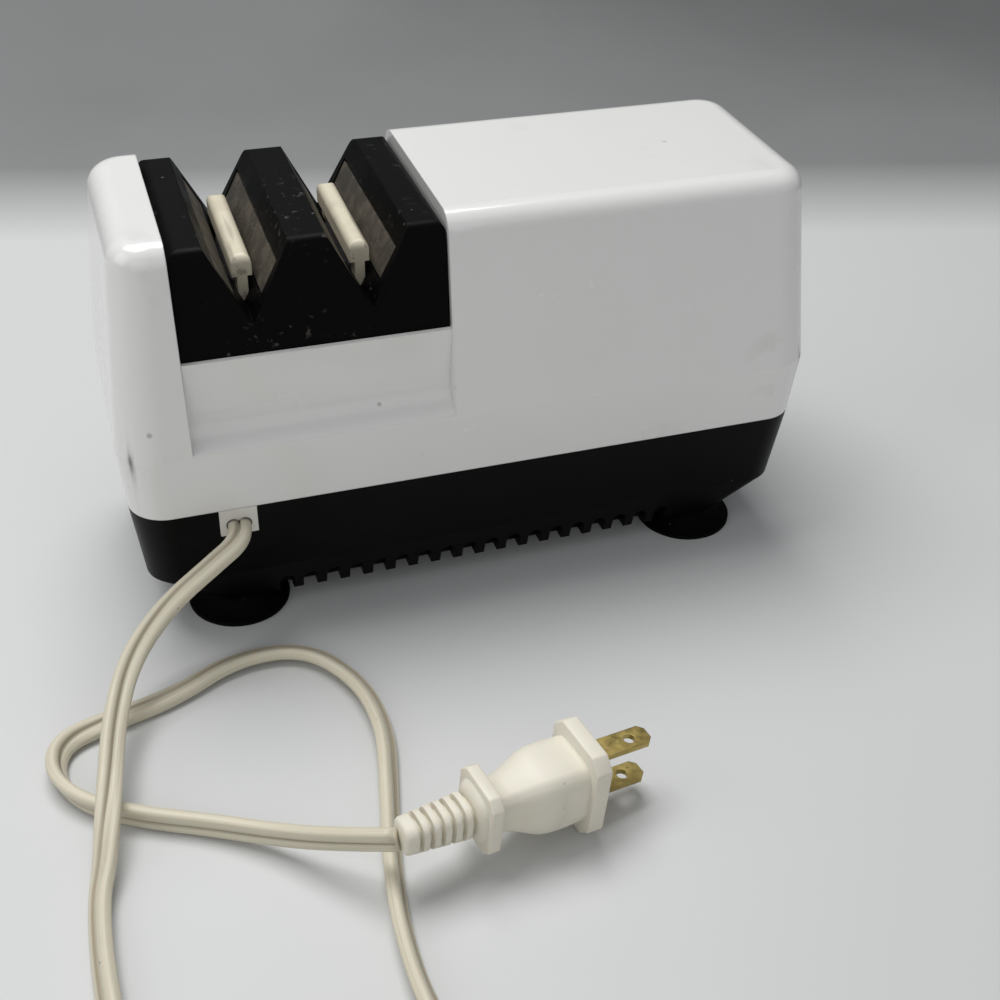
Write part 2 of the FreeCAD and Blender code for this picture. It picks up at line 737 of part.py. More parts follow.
def add_insert_hollow(body, left, right, high_half):
    """Hollow from below that follows the slots at one wall's distance."""
    side_step = insert_wall * slant_stretch
    ceiling = insert_top - insert_wall
    shoulder = slot_half_width - slot_slope * insert_wall + side_step
    apex = slot_floor - side_step / slot_slope
    hollow = new_sketch(body, "insert_hollow_outline", "XZ_Plane")
    draw_outline(hollow, [
        (left + insert_wall, ledge_height - 1), (right - insert_wall, ledge_height - 1),
        (right - insert_wall, ceiling),
        (slot_right_x + shoulder, ceiling), (slot_right_x, apex), (slot_right_x - shoulder, ceiling),
        (slot_left_x + shoulder, ceiling), (slot_left_x, apex), (slot_left_x - shoulder, ceiling),
        (left + insert_wall, ceiling),
    ])
    add_pocket(body, "insert_hollow", hollow, 2 * (high_half - insert_wall), both_ways=True)


# A wall that leans at the slot's slope is this much wider across than through
slant_stretch = Size(math.hypot(1, slot_slope.value), f"sqrt(1 + {slot_slope.text} ^ 2)")


def wall_point(centre, side, height, inward):
    """Point on a slot's wall at a height, sunk into the wall by a distance across it."""
    half = slot_slope * (height - slot_floor)
    return centre + side * (half + inward / slant_stretch), height - inward * slot_slope / slant_stretch


def wall_strip(centre, side, low, high, shallow, deep):
    """Four corners of a strip that lies along a slot's wall."""
    corners = [wall_point(centre, side, low, shallow), wall_point(centre, side, low, deep),
               wall_point(centre, side, high, deep), wall_point(centre, side, high, shallow)]
    return corners if side > 0 else corners[::-1]


gate_top = slot_floor + abrasive_gate_half_width / slot_slope
slot_walls = [(slot_left_x, -1), (slot_left_x, 1), (slot_right_x, -1), (slot_right_x, 1)]


def add_insert_recesses(body):
    recesses = new_sketch(body, "plate_recesses_outline", "XZ_Plane")
    for centre, side in slot_walls:
        draw_outline(recesses, wall_strip(centre, side, gate_top - 0.5, plate_top, as_size(-0.6), plate_recess))
    add_pocket(body, "plate_recesses", recesses, 2 * (plate_half_length + run_gap), both_ways=True)
    gates = new_sketch(body, "gates_outline", "XY_Plane", ledge_height)
    seats = new_sketch(body, "bar_seats_outline", "XY_Plane", insert_top)
    for centre in (slot_left_x, slot_right_x):
        draw_outline(gates, [(centre - abrasive_gate_half_width, -abrasive_gate_half_length),
                             (centre + abrasive_gate_half_width, -abrasive_gate_half_length),
                             (centre + abrasive_gate_half_width, abrasive_gate_half_length),
                             (centre - abrasive_gate_half_width, abrasive_gate_half_length)])
        half = bar_stem_width / 2 + run_gap
        for side in (-1, 1):
            outer = side * (bar_half_length + run_gap)
            inner = side * (bar_half_length - bar_leg_length - run_gap)
            low, high = (inner, outer) if side > 0 else (outer, inner)
            draw_outline(seats, [(centre - half, low), (centre + half, low),
                                 (centre + half, high), (centre - half, high)])
    add_pocket(body, "gates", gates, insert_height + 1, backwards=True)
    add_pocket(body, "bar_seats", seats, insert_top - bar_foot)


def make_guard_bar(centre, label):
    """Ivory T section bar on two legs, over one abrasive wedge."""
    body = new_body(label)
    cap = new_sketch(body, label + "_cap", "XZ_Plane")
    half = bar_width / 2
    draw_outline(cap, [(-half, bar_cap_floor), (half, bar_cap_floor), (half, bar_top), (-half, bar_top)])
    add_pad(body, label + "_cap_pad", cap, 2 * bar_half_length, both_ways=True)
    add_fillet(body, label + "_rounding",
               lambda point: close_to(point.z, bar_top) and close_to(abs(point.x), half), bar_edge_radius)
    legs = new_sketch(body, label + "_legs", "XY_Plane", bar_cap_floor)
    for side in (-1, 1):
        outer = side * bar_half_length
        inner = side * (bar_half_length - bar_leg_length)
        low, high = (inner, outer) if side > 0 else (outer, inner)
        draw_outline(legs, [(-bar_stem_width / 2, low), (bar_stem_width / 2, low),
                            (bar_stem_width / 2, high), (-bar_stem_width / 2, high)])
    add_pad(body, label + "_legs_pad", legs, bar_leg_height, backwards=True)
    place(body, centre)
    return keep(body, label)


def make_guide_plate(centre, side, label):
    """Steel strip that the blade slides down, seated on the floor of its recess."""
    body = new_body(label)
    profile = new_sketch(body, label + "_profile", "XZ_Plane")
    draw_outline(profile, wall_strip(centre, side, gate_top, plate_top - 0.9,
                                     plate_recess - plate_thickness, plate_recess))
    add_pad(body, label + "_pad", profile, 2 * plate_half_length, both_ways=True)
    return keep(body, label)


def make_guide_magnet(centre, side, label):
    """Bar magnet behind a guide plate, against the inside of the slot's wall."""
    body = new_body(label)
    profile = new_sketch(body, label + "_profile", "XZ_Plane")
    low = gate_top + 2.2
    draw_outline(profile, wall_strip(centre, side, low, low + magnet_width,
                                     insert_wall, insert_wall + magnet_thickness))
    add_pad(body, label + "_pad", profile, 2 * magnet_half_length, both_ways=True)
    return keep(body, label)


# Mechanism: two frame plates carry two crankshafts, whose eccentrics carry the carriage in a small orbit

def make_frame_plate(plate_x, label):
    body = new_body(label)
    outline = new_sketch(body, label + "_outline", "YZ_Plane")
    half = frame_plate_half_depth
    foot_half = frame_foot_half_depth - seat_gap
    draw_outline(outline, [
        (-foot_half, tray_floor), (foot_half, tray_floor), (foot_half, seam_height - 12),
        (half, seam_height), (half, frame_plate_top - 8), (half - 8, frame_plate_top),
        (8 - half, frame_plate_top), (-half, frame_plate_top - 8), (-half, seam_height),
        (-foot_half, seam_height - 12),
    ])
    for side in (-1, 1):
        draw_circle(outline, side * crank_y, shaft_height, bush_radius + press_gap)
        draw_circle(outline, side * spacer_y, spacer_height, screw_radius + run_gap)
    window = as_size(12)
    draw_rounded(outline, -window, window, tray_floor + 10, shaft_height - 14, as_size(3))
    draw_circle(outline, 0, shaft_height, as_size(7))
    add_pad(body, label + "_pad", outline, frame_plate_thickness)
    place(body, plate_x)
    return keep(body, label)


def ring_rod(name, outer, bore, length, x, y, z, turn=ALONG_X):
    """Bush: a cylinder with a bore along its own axis."""
    solid = new_rod(name + "_solid", outer, length, x, y, z, turn)
    hole = new_rod(name + "_bore", bore, length, x, y, z, turn)
    return new_cut(name, solid, [hole])


def make_crank_bushes():
    bushes = []
    for plate_x, shift in ((left_plate_x, as_size(0)), (right_plate_x, frame_plate_thickness - bush_length)):
        for side in (-1, 1):
            name = f"crank_bush_{len(bushes)}"
            bushes.append(ring_rod(name, bush_radius, crank_radius + run_gap, bush_length,
                                   plate_x + shift, side * crank_y, shaft_height))
    return keep(new_group("crank_bushes", bushes), "crank_bushes")


def make_frame_spacers():
    """Two rods with screwed ends that tie the frame plates together."""
    start = left_plate_x + frame_plate_thickness
    rods = []
    for side in (-1, 1):
        y = side * spacer_y
        rod = new_rod(f"spacer_{side + 1}", spacer_radius, right_plate_x - start, start, y, spacer_height)
        screw = new_rod(f"spacer_screw_{side + 1}", screw_radius,
                        right_plate_x - left_plate_x + frame_plate_thickness, left_plate_x, y, spacer_height)
        heads = [
            new_rod(f"spacer_head_{side + 1}_left", screw_head_radius, screw_head_height,
                    left_plate_x - screw_head_height, y, spacer_height),
            new_rod(f"spacer_head_{side + 1}_right", screw_head_radius, screw_head_height,
                    right_plate_x + frame_plate_thickness, y, spacer_height),
        ]
        rods.append(new_fuse(f"spacer_rod_{side + 1}", [rod, screw] + heads))
    return keep(new_group("frame_spacers", rods), "frame_spacers")


ear_places = [carriage_left, carriage_right - ear_thickness]


def make_crankshaft(side, label):
    """Shaft with two eccentrics, thrown straight down at rest."""
    y = side * crank_y
    start = left_plate_x - 1
    main = new_rod(label + "_main", crank_radius, gear_x + gear_width + 1.5 - start, start, y, shaft_height)
    pieces = [main]
    for index, ear_x in enumerate(ear_places):
        pieces.append(new_rod(f"{label}_eccentric_{index}", eccentric_radius, ear_thickness + 1,
                              ear_x - 0.5, y, pin_height))
    return keep(new_fuse(label, pieces), label)


def make_gear(label, teeth, width, bore, x, y, phase):
    """Spur gear with straight sided teeth, slimmer than the pitch by the backlash."""
    pitch_radius = gear_module * teeth / 2
    tip_radius = pitch_radius + 0.92 * gear_module
    root_radius = pitch_radius - 1.22 * gear_module
    body = new_body(label)
    disc = new_sketch(body, label + "_disc", "YZ_Plane")
    draw_circle(disc, 0, 0, root_radius)
    draw_circle(disc, 0, 0, bore)
    add_pad(body, label + "_disc_pad", disc, width)
    tooth = new_sketch(body, label + "_tooth", "YZ_Plane")
    slim = 0.72 if teeth < 20 else 0.85
    root_half = gear_module * slim * 1.12
    tip_half = gear_module * 0.34
    draw_outline(tooth, [(root_radius - 0.4, -root_half), (tip_radius, -tip_half),
                         (tip_radius, tip_half), (root_radius - 0.4, root_half)])
    add_pad(body, label + "_tooth_pad", tooth, width)
    pattern = body.newObject("PartDesign::PolarPattern", label + "_teeth")
    pattern.Originals = [body.Tip]
    axis = [item for item in body.Origin.OriginFeatures if item.Role == "X_Axis"][0]
    pattern.Axis = (axis, [""])
    pattern.Angle = 360
    pattern.Occurrences = teeth
    body.Tip = pattern
    place(body, x, y, shaft_height, FreeCAD.Rotation(FreeCAD.Vector(1, 0, 0), phase))
    return keep(body, label)


def make_carriage():
    """Plate on two bearing ears with a rising holder for each wedge."""
    body = new_body("orbit_carriage")
    plate = new_sketch(body, "carriage_plate_outline", "XY_Plane", carriage_height)
    draw_rounded(plate, carriage_left, carriage_right, -carriage_half_depth, carriage_half_depth, as_size(5))
    add_pad(body, "carriage_plate", plate, carriage_plate_thickness)
    for index, ear_x in enumerate(ear_places):
        ear = new_sketch(body, f"ear_{index}", "YZ_Plane", ear_x)
        top = carriage_height + carriage_plate_thickness / 2
        low = carriage_height - ear_drop
        half = carriage_half_depth
        draw_outline(ear, [
            (-half, top), (-half, low + 6), (6 - half, low, 6), (6 - crank_y, low), (-8, low + 12),
            (8, low + 12), (crank_y - 6, low), (half - 6, low), (half, low + 6, 6), (half, top),
        ])
        add_pad(body, f"ear_{index}_pad", ear, ear_thickness)
    bores = new_sketch(body, "bush_bores", "YZ_Plane", carriage_left - 1)
    for side in (-1, 1):
        draw_circle(bores, side * crank_y, pin_height, carriage_bush_radius + press_gap)
    add_pocket(body, "carriage_bores", bores, carriage_right - carriage_left + 2, backwards=True)
    holder_top = carriage_height + carriage_plate_thickness / 2
    holders = new_sketch(body, "holders_outline", "XY_Plane", holder_top)
    for centre in (slot_left_x, slot_right_x):
        draw_outline(holders, [(centre - wedge_foot_half_width, -wedge_half_length),
                               (centre + wedge_foot_half_width, -wedge_half_length),
                               (centre + wedge_foot_half_width, wedge_half_length),
                               (centre - wedge_foot_half_width, wedge_half_length)])
    add_pad(body, "holders", holders, slot_floor - 1 - holder_top)
    return keep(body, "orbit_carriage")


def make_carriage_bushes():
    bushes = []
    for ear_x in ear_places:
        for side in (-1, 1):
            name = f"carriage_bush_{len(bushes)}"
            bushes.append(ring_rod(name, carriage_bush_radius, eccentric_radius + run_gap, ear_thickness,
                                   ear_x, side * crank_y, pin_height))
    return keep(new_group("carriage_bushes", bushes), "carriage_bushes")


wedge_foot = slot_floor - 1
wedge_top = bar_cap_floor - wedge_clearance - 2 * orbit_radius


def make_wedge(centre, label):
    """Slim core that rises through the insert's gate and holds an abrasive pad on each side."""
    body = new_body(label)
    profile = new_sketch(body, label + "_profile", "XZ_Plane")
    draw_outline(profile, [(-wedge_foot_half_width, wedge_foot), (wedge_foot_half_width, wedge_foot),
                           (wedge_top_half_width, wedge_top), (-wedge_top_half_width, wedge_top)])
    add_pad(body, label + "_pad", profile, 2 * wedge_half_length, both_ways=True)
    place(body, centre)
    return keep(body, label)


def make_abrasive_pads(centre, label):
    """Two thin abrasive strips on the flanks of a wedge."""
    strips = []
    for side, name in ((-1, "left"), (1, "right")):
        body = new_body(f"{label}_{name}")
        profile = new_sketch(body, f"{label}_{name}_profile", "XZ_Plane")
        foot = side * wedge_foot_half_width
        top = side * wedge_top_half_width
        foot_out = side * (wedge_foot_half_width + abrasive_thickness)
        top_out = side * (wedge_top_half_width + abrasive_thickness)
        corners = [(foot, wedge_foot), (foot_out, wedge_foot), (top_out, wedge_top), (top, wedge_top)]
        draw_outline(profile, corners if side > 0 else corners[::-1])
        add_pad(body, f"{label}_{name}_pad", profile, 2 * wedge_half_length, both_ways=True)
        place(body, centre)
        strips.append(body)
    return keep(new_group(label, strips), label)


# Motor: laminated frame round the rotor, with the coil on its lower leg

bolt_places = [(side * bolt_spread, shaft_height + rise * bolt_rise) for side in (-1, 1) for rise in (-1, 1)]


def make_stator():
    body = new_body("motor_stator")
    outline = new_sketch(body, "stator_outline", "YZ_Plane", stator_left)
    draw_rounded(outline, -stator_half_width, stator_half_width, stator_foot, stator_top, stator_corner)
    draw_circle(outline, 0, shaft_height, stator_bore)
    draw_outline(outline, [(-window_half_width, window_floor), (window_half_width, window_floor),
                           (window_half_width, window_top), (-window_half_width, window_top)])
    for y, z in bolt_places:
        draw_circle(outline, y, z, bolt_radius + run_gap)
    add_pad(body, "stator_pad", outline, stator_length)
    holes = new_sketch(body, "stator_foot_holes", "XY_Plane", stator_foot)
    for x, y in motor_screw_places:
        draw_circle(holes, x, y, screw_radius + run_gap)
    add_pocket(body, "stator_foot_pocket", holes, 8, backwards=True)
    return keep(body, "motor_stator")


def make_motor_coil():
    """Winding with round corners round the stator's lower leg."""
    body = new_body("motor_coil")
    half = window_half_width - 1.2
    outline = new_sketch(body, "coil_outline", "XZ_Plane")
    draw_rounded(outline, stator_left - coil_overhang, stator_right + coil_overhang,
                 stator_foot - coil_below, window_top - 3, coil_corner)
    draw_outline(outline, [(stator_left - seat_gap, stator_foot - seat_gap),
                           (stator_right + seat_gap, stator_foot - seat_gap),
                           (stator_right + seat_gap, window_floor + seat_gap),
                           (stator_left - seat_gap, window_floor + seat_gap)])
    add_pad(body, "coil_pad", outline, 2 * half, both_ways=True)
    return keep(body, "motor_coil")


bracket_places = {
    "motor_bracket_left": stator_left - bracket_gap - bracket_thickness,
    "motor_bracket_right": stator_right + bracket_gap,
}


def make_motor_bracket(label, leg_start):
    """Pressed plate on four stand-off legs, with the shaft bush in its middle."""
    body = new_body(label)
    outline = new_sketch(body, label + "_outline", "YZ_Plane", bracket_places[label])
    reach = bolt_spread + 4
    rise = bolt_rise + 4
    draw_rounded(outline, -reach, reach, shaft_height - rise, shaft_height + rise, as_size(4))
    draw_circle(outline, 0, shaft_height, motor_bush_radius + press_gap)
    for y, z in bolt_places:
        draw_circle(outline, y, z, bolt_radius + run_gap)
    add_pad(body, label + "_plate", outline, bracket_thickness)
    legs = new_sketch(body, label + "_legs", "YZ_Plane", leg_start)
    for y, z in bolt_places:
        draw_circle(legs, y, z, bolt_head_radius)
        draw_circle(legs, y, z, bolt_radius + run_gap)
    add_pad(body, label + "_legs_pad", legs, bracket_gap)
    return keep(body, label)


def make_motor_bushes():
    bushes = []
    for label, x in bracket_places.items():
        middle = x + bracket_thickness / 2 - motor_bush_length / 2
        bushes.append(ring_rod(f"bush_of_{label}", motor_bush_radius, motor_shaft_radius + run_gap,
                               motor_bush_length, middle, 0, shaft_height))
    return keep(new_group("motor_bushes", bushes), "motor_bushes")


def make_motor_bolts():
    start = bracket_places["motor_bracket_left"]
    finish = bracket_places["motor_bracket_right"] + bracket_thickness
    bolts = []
    for index, (y, z) in enumerate(bolt_places):
        shank = new_rod(f"motor_bolt_shank_{index}", bolt_radius, finish - start, start, y, z)
        head = new_rod(f"motor_bolt_head_{index}", bolt_head_radius, bolt_head_height,
                       start - bolt_head_height, y, z)
        nut = new_rod(f"motor_bolt_nut_{index}", bolt_head_radius, bolt_head_height, finish, y, z)
        bolts.append(new_fuse(f"motor_bolt_{index}", [shank, head, nut]))
    return keep(new_group("motor_bolts", bolts), "motor_bolts")


def make_rotor():
    core = new_rod("rotor_solid", rotor_radius, stator_length, stator_left, 0, shaft_height)
    bore = new_rod("rotor_bore", motor_shaft_radius + press_gap, stator_length, stator_left, 0, shaft_height)
    keep(new_cut("rotor_core", core, [bore]), "rotor_core")
    start = gear_x - 1
    keep(new_rod("motor_shaft", motor_shaft_radius, fan_x + fan_width + 1 - start, start, 0, shaft_height),
         "motor_shaft")


def make_fan():
    """Hub with straight blades on a thin disc."""
    body = new_body("cooling_fan")
    disc = new_sketch(body, "fan_disc", "YZ_Plane")
    draw_circle(disc, 0, 0, fan_radius)
    draw_circle(disc, 0, 0, motor_shaft_radius + press_gap)
    add_pad(body, "fan_disc_pad", disc, as_size(1.5))
    hub = new_sketch(body, "fan_hub", "YZ_Plane")
    draw_circle(hub, 0, 0, fan_hub_radius)
    draw_circle(hub, 0, 0, motor_shaft_radius + press_gap)
    add_pad(body, "fan_hub_pad", hub, fan_width)
    blade = new_sketch(body, "fan_blade", "YZ_Plane")
    half = fan_blade_thickness / 2
    draw_outline(blade, [(fan_hub_radius - 0.5, -half), (fan_radius - 0.5, -half),
                         (fan_radius - 0.5, half), (fan_hub_radius - 0.5, half)])
    add_pad(body, "fan_blade_pad", blade, fan_width)
    pattern = body.newObject("PartDesign::PolarPattern", "fan_blades")
    pattern.Originals = [body.Tip]
    axis = [item for item in body.Origin.OriginFeatures if item.Role == "X_Axis"][0]
    pattern.Axis = (axis, [""])
    pattern.Angle = 360
    pattern.Occurrences = fan_blades
    body.Tip = pattern
    place(body, fan_x, 0, shaft_height)
    return keep(body, "cooling_fan")


# Rocker switch on the leaning +Y face. Its own frame has Y out of the face and Z up along it

lean_angle = math.degrees(math.atan(front_draft.value))
lean = FreeCAD.Rotation(FreeCAD.Vector(1, 0, 0), lean_angle)
face_y = outer_half_depth(switch_height)


def place_on_face(item):
    place(item, switch_x, face_y, switch_height, lean)
    return item


def make_switch():
    body = new_body("switch_body")
    bezel = new_sketch(body, "bezel_outline", "XZ_Plane", -bezel_thickness)
    half = switch_width / 2 + bezel_margin
    tall = switch_tall / 2 + bezel_margin
    draw_rounded(bezel, -half, half, -tall, tall, as_size(1.5))
    add_pad(body, "bezel", bezel, bezel_thickness)
    case = new_sketch(body, "case_outline", "XZ_Plane", 0)
    draw_rounded(case, -switch_width / 2, switch_width / 2, -switch_tall / 2, switch_tall / 2, as_size(1))
    add_pad(body, "case", case, switch_depth)
    mouth = new_sketch(body, "mouth_outline", "XZ_Plane", -bezel_thickness)
    mouth_half = switch_width / 2 - 1.3
    mouth_tall = switch_tall / 2 - 1.3
    draw_outline(mouth, [(-mouth_half, -mouth_tall), (mouth_half, -mouth_tall),
                         (mouth_half, mouth_tall), (-mouth_half, mouth_tall)])
    add_pocket(body, "mouth", mouth, bezel_thickness + 8, backwards=True)
    axle = new_sketch(body, "axle_hole", "YZ_Plane", 0)
    draw_circle(axle, rocker_pivot_y, 0, as_size(1) + run_gap)
    add_pocket(body, "axle_holes", axle, switch_width - 1.2, both_ways=True)
    place_on_face(body)
    keep(body, "switch_body")
    make_rocker(mouth_half - seat_gap, mouth_tall)


rocker_pivot_y = as_size(-3)


def make_rocker(half_width, mouth_tall):
    """Rocker with two flat faces at an angle, resting with its upper half pressed in."""
    body = new_body("switch_rocker")
    profile = new_sketch(body, "rocker_profile", "YZ_Plane", 0)
    reach = mouth_tall - 0.9
    crown = -rocker_pivot_y + bezel_thickness + 0.3
    draw_outline(profile, [
        (-2.2, -reach + 1.5), (crown - 0.2, -reach), (crown - 0.2 + 0.6, -reach + 0.2),
        (crown - 1.0, 0), (crown + 0.4, reach - 0.2), (crown - 0.2, reach), (-2.2, reach - 1.5),
    ])
    add_pad(body, "rocker_pad", profile, 2 * half_width, both_ways=True)
    axle = new_sketch(body, "rocker_axle", "YZ_Plane", 0)
    draw_circle(axle, 0, 0, as_size(1))
    add_pad(body, "rocker_axle_pad", axle, switch_width - 1.6, both_ways=True)
    tilt = FreeCAD.Rotation(FreeCAD.Vector(1, 0, 0), lean_angle + rocker_swing.value)
    pivot_y = face_y + rocker_pivot_y * math.cos(math.radians(lean_angle))
    pivot_z = switch_height + rocker_pivot_y * math.sin(math.radians(lean_angle))
    place(body, switch_x, pivot_y, pivot_z, tilt)
    return keep(body, "switch_rocker")


# Feet, screws and the lead's gland

def make_foot(x, y, label):
    """Black rubber foot: a flared cup on a barbed stem."""
    body = new_body(label)
    profile = new_sketch(body, label + "_profile", "XZ_Plane")
    stem_top = feet_height + wall + 2.4
    draw_outline(profile, [
        (0, 1.8), (5, 1.6), (foot_radius - 2.5, 0), (foot_radius, 0), (foot_radius, 1.1),
        (foot_neck_radius, feet_height, -18), (foot_stem_radius, feet_height),
        (foot_stem_radius, feet_height + wall + run_gap), (foot_stem_radius + 0.8, feet_height + wall + run_gap),
        (foot_stem_radius - 0.8, stem_top), (0, stem_top),
    ])
    turned = body.newObject("PartDesign::Revolution", label + "_turned")
    turned.Profile = profile
    turned.ReferenceAxis = (profile, ["V_Axis"])
    turned.Angle = 360
    place(body, x, y)
    return keep(body, label)


def make_screws(name, places, seat, length):
    """Pan head screws that point up, their heads below the seat."""
    screws = []
    for index, (x, y) in enumerate(places):
        shank = new_rod(f"{name}_shank_{index}", screw_radius, length, x, y, seat, ALONG_Z)
        head = new_rod(f"{name}_head_{index}", screw_head_radius, screw_head_height,
                       x, y, seat - screw_head_height, ALONG_Z)
        screws.append(new_fuse(f"{name}_{index}", [shank, head]))
    return keep(new_group(name, screws), name)


def make_gland():
    """White square bush that holds the lead in the tray's notch, with a collar inside the wall."""
    body = new_body("cord_gland")
    block = new_sketch(body, "gland_outline", "XZ_Plane", seam_half_depth + 0.2)
    half = gland_width / 2
    draw_outline(block, [(-half, seam_height - gland_drop), (half, seam_height - gland_drop),
                         (half, seam_height), (-half, seam_height)])
    add_pad(body, "gland_block", block, gland_depth, backwards=True)
    front = seam_half_depth - 1.6 * wall
    collar = new_sketch(body, "gland_collar_outline", "XZ_Plane", front)
    wide = half + gland_collar
    draw_outline(collar, [(-wide, seam_height - gland_drop - gland_collar),
                          (wide, seam_height - gland_drop - gland_collar),
                          (wide, seam_height - 2 * tongue_height - seat_gap),
                          (-wide, seam_height - 2 * tongue_height - seat_gap)])
    add_pad(body, "gland_collar_pad", collar, front - (seam_half_depth + 0.2 - gland_depth), backwards=True)
    place(body, gland_x)
    return keep(body, "cord_gland")


# Lead: runs joined by tangent arcs, a put away coil and the plug

tube_radius = cord_diameter.value / 2
LIE = tube_radius
EXIT_HEIGHT = seam_height.value - 5.2
outgoing_route = [
    (-73.2, -40.2, EXIT_HEIGHT), (-73.2, -46.8, EXIT_HEIGHT), (-83.0, -51.0, 33.4), (-96.5, -53.0, 24.0),
    (-108.5, -62.5, 16.0), (-115.0, -80.0, 12.2), (-118.3, -101.0, 11.4), (-122.5, -121.5, 6.2),
    (-126.5, -142.0, LIE), (-126.0, -164.0, LIE), (-128.0, -186.0, LIE), (-133.0, -214.0, LIE),
]
returning_route = [
    (-50.5, -218.0, LIE), (-53.5, -198.0, LIE), (-58.6, -180.0, LIE), (-58.8, -158.0, LIE),
    (-55.6, -137.0, LIE), (-50.6, -116.0, LIE), (-46.0, -95.0, LIE), (-48.5, -75.0, LIE),
    (-60.0, -57.5, LIE), (-80.0, -56.0, LIE), (-99.0, -66.0, LIE), (-117.0, -70.5, LIE),
    (-129.8, -75.6, LIE), (-132.2, -87.4, LIE), (-125.5, -99.0, LIE), (-112.0, -107.5, LIE),
    (-97.0, -114.5, LIE),
    (-82.0, -124.0, 5.2), (-70.0, -134.0, 10.6), (-55.8, -143.9, 16.9),
]


def rounded_route(points):
    """Straight runs joined by tangent arcs, and the radius of each arc."""
    vectors = [FreeCAD.Vector(*point) for point in points]
    edges = []
    radii = []
    start = vectors[0]
    for before, corner, after in zip(vectors, vectors[1:], vectors[2:]):
        incoming = (corner - before).normalize()
        outgoing = (after - corner).normalize()
        half_turn = incoming.getAngle(outgoing) / 2
        tangent = 0.45 * min((corner - before).Length, (after - corner).Length)
        radii.append(tangent / math.tan(half_turn))
        first = corner - incoming * tangent
        last = corner + outgoing * tangent
        inward = (outgoing - incoming).normalize()
        middle = corner + inward * (radii[-1] / math.cos(half_turn) - radii[-1])
        edges.append(Part.LineSegment(start, first).toShape())
        edges.append(Part.Arc(first, middle, last).toShape())
        start = last
    edges.append(Part.LineSegment(start, vectors[-1]).toShape())
    return Part.Wire(edges), radii


def make_cord(points, label):
    path, radii = rounded_route(points)
    first_way = FreeCAD.Vector(*points[1]) - FreeCAD.Vector(*points[0])
    section = Part.Wire([Part.Circle(FreeCAD.Vector(*points[0]), first_way, tube_radius).toShape()])
    tube = path.makePipeShell([section], True, False)
    expected = math.pi * tube_radius ** 2 * path.Length
    print(label, "length", round(path.Length, 1), "volume over section times length",
          round(tube.Volume / expected, 4), "radii", [round(radius, 1) for radius in radii])
    item = document.addObject("Part::Feature", label)
    item.Shape = tube
    return keep(item, label)


def make_cord_coil():
    """Envelope of the put away turns: a flat ring."""
    body = new_body("cord_coil")
    profile = new_sketch(body, "coil_ring_profile", "XZ_Plane")
    half_width = coil_turns_across * cord_diameter / 2
    height = coil_layers * cord_diameter
    draw_rounded(profile, coil_mean_radius - half_width, coil_mean_radius + half_width, as_size(0), height,
                 as_size(2.5))
    turned = body.newObject("PartDesign::Revolution", "coil_ring")
    turned.Profile = profile
    turned.ReferenceAxis = (profile, ["V_Axis"])
    turned.Angle = 360
    place(body, coil_x, coil_y)
    return keep(body, "cord_coil")


# The plug points along its own X axis, tilted a little because its tail is held up by the stiff lead
plug_turn = FreeCAD.Rotation(10.3, 4.1, 0)
plug_origin = FreeCAD.Vector(plug_x.value, plug_y.value, plug_height.value)


def place_plug(item):
    place(item, plug_x, plug_y, plug_height, plug_turn)
    return item


def make_plug_body():
    """Moulded plug: grooved strain relief, small collar, waisted grip and an oval face flange."""
    body = new_body("plug_body")
    profile = new_sketch(body, "plug_profile", "XY_Plane")
    tail = -52.0
    draw_outline(profile, [
        (tail, 0), (0, 0), (0, plug_flange_half_width - 1.6),
        (-plug_flange_thickness, plug_flange_half_width - 1.6),
        (-plug_flange_thickness, 8.9), (-16, 9.2, -60), (-28.6, 7.6, 40), (-28.6, 10.1), (-32, 10.1),
        (-32, 5.8), (tail, 4.6),
    ][::-1])
    turned = body.newObject("PartDesign::Revolution", "plug_turned")
    turned.Profile = profile
    turned.ReferenceAxis = (profile, ["H_Axis"])
    turned.Angle = 360
    flange = new_sketch(body, "plug_flange_outline", "YZ_Plane", 0)
    draw_rounded(flange, -plug_flange_half_width, plug_flange_half_width, -plug_flange_half_height,
                 plug_flange_half_height, plug_flange_half_width - 2)
    add_pad(body, "plug_flange", flange, plug_flange_thickness, backwards=True)
    for index in range(6):
        at = tail + 3.2 + index * 2.9
        side = 1 if index % 2 else -1
        groove = new_sketch(body, f"relief_groove_{index}", "XZ_Plane")
        low, high = (2.2, 7.5) if side > 0 else (-7.5, -2.2)
        draw_outline(groove, [(at, low), (at + 1.3, low), (at + 1.3, high), (at, high)])
        add_pocket(body, f"relief_groove_{index}_cut", groove, 14, both_ways=True)
    place_plug(body)
    return keep(body, "plug_body")


def make_plug_blades():
    """Two flat brass blades with bevelled tips and a hole in each."""
    blades = []
    for side, name in ((-1, "lower"), (1, "upper")):
        body = new_body(f"blade_{name}")
        outline = new_sketch(body, f"blade_{name}_outline", "XY_Plane",
                             side * blade_spacing / 2 - blade_thickness / 2)
        half = blade_width / 2
        draw_outline(outline, [(0, -half), (blade_length - 1.5, -half), (blade_length, 1.5 - half),
                               (blade_length, half - 1.5), (blade_length - 1.5, half), (0, half)])
        draw_circle(outline, as_size(11.9), 0, blade_hole)
        add_pad(body, f"blade_{name}_pad", outline, blade_thickness)
        place_plug(body)
        blades.append(body)
    return keep(new_group("plug_blades", blades), "plug_blades")


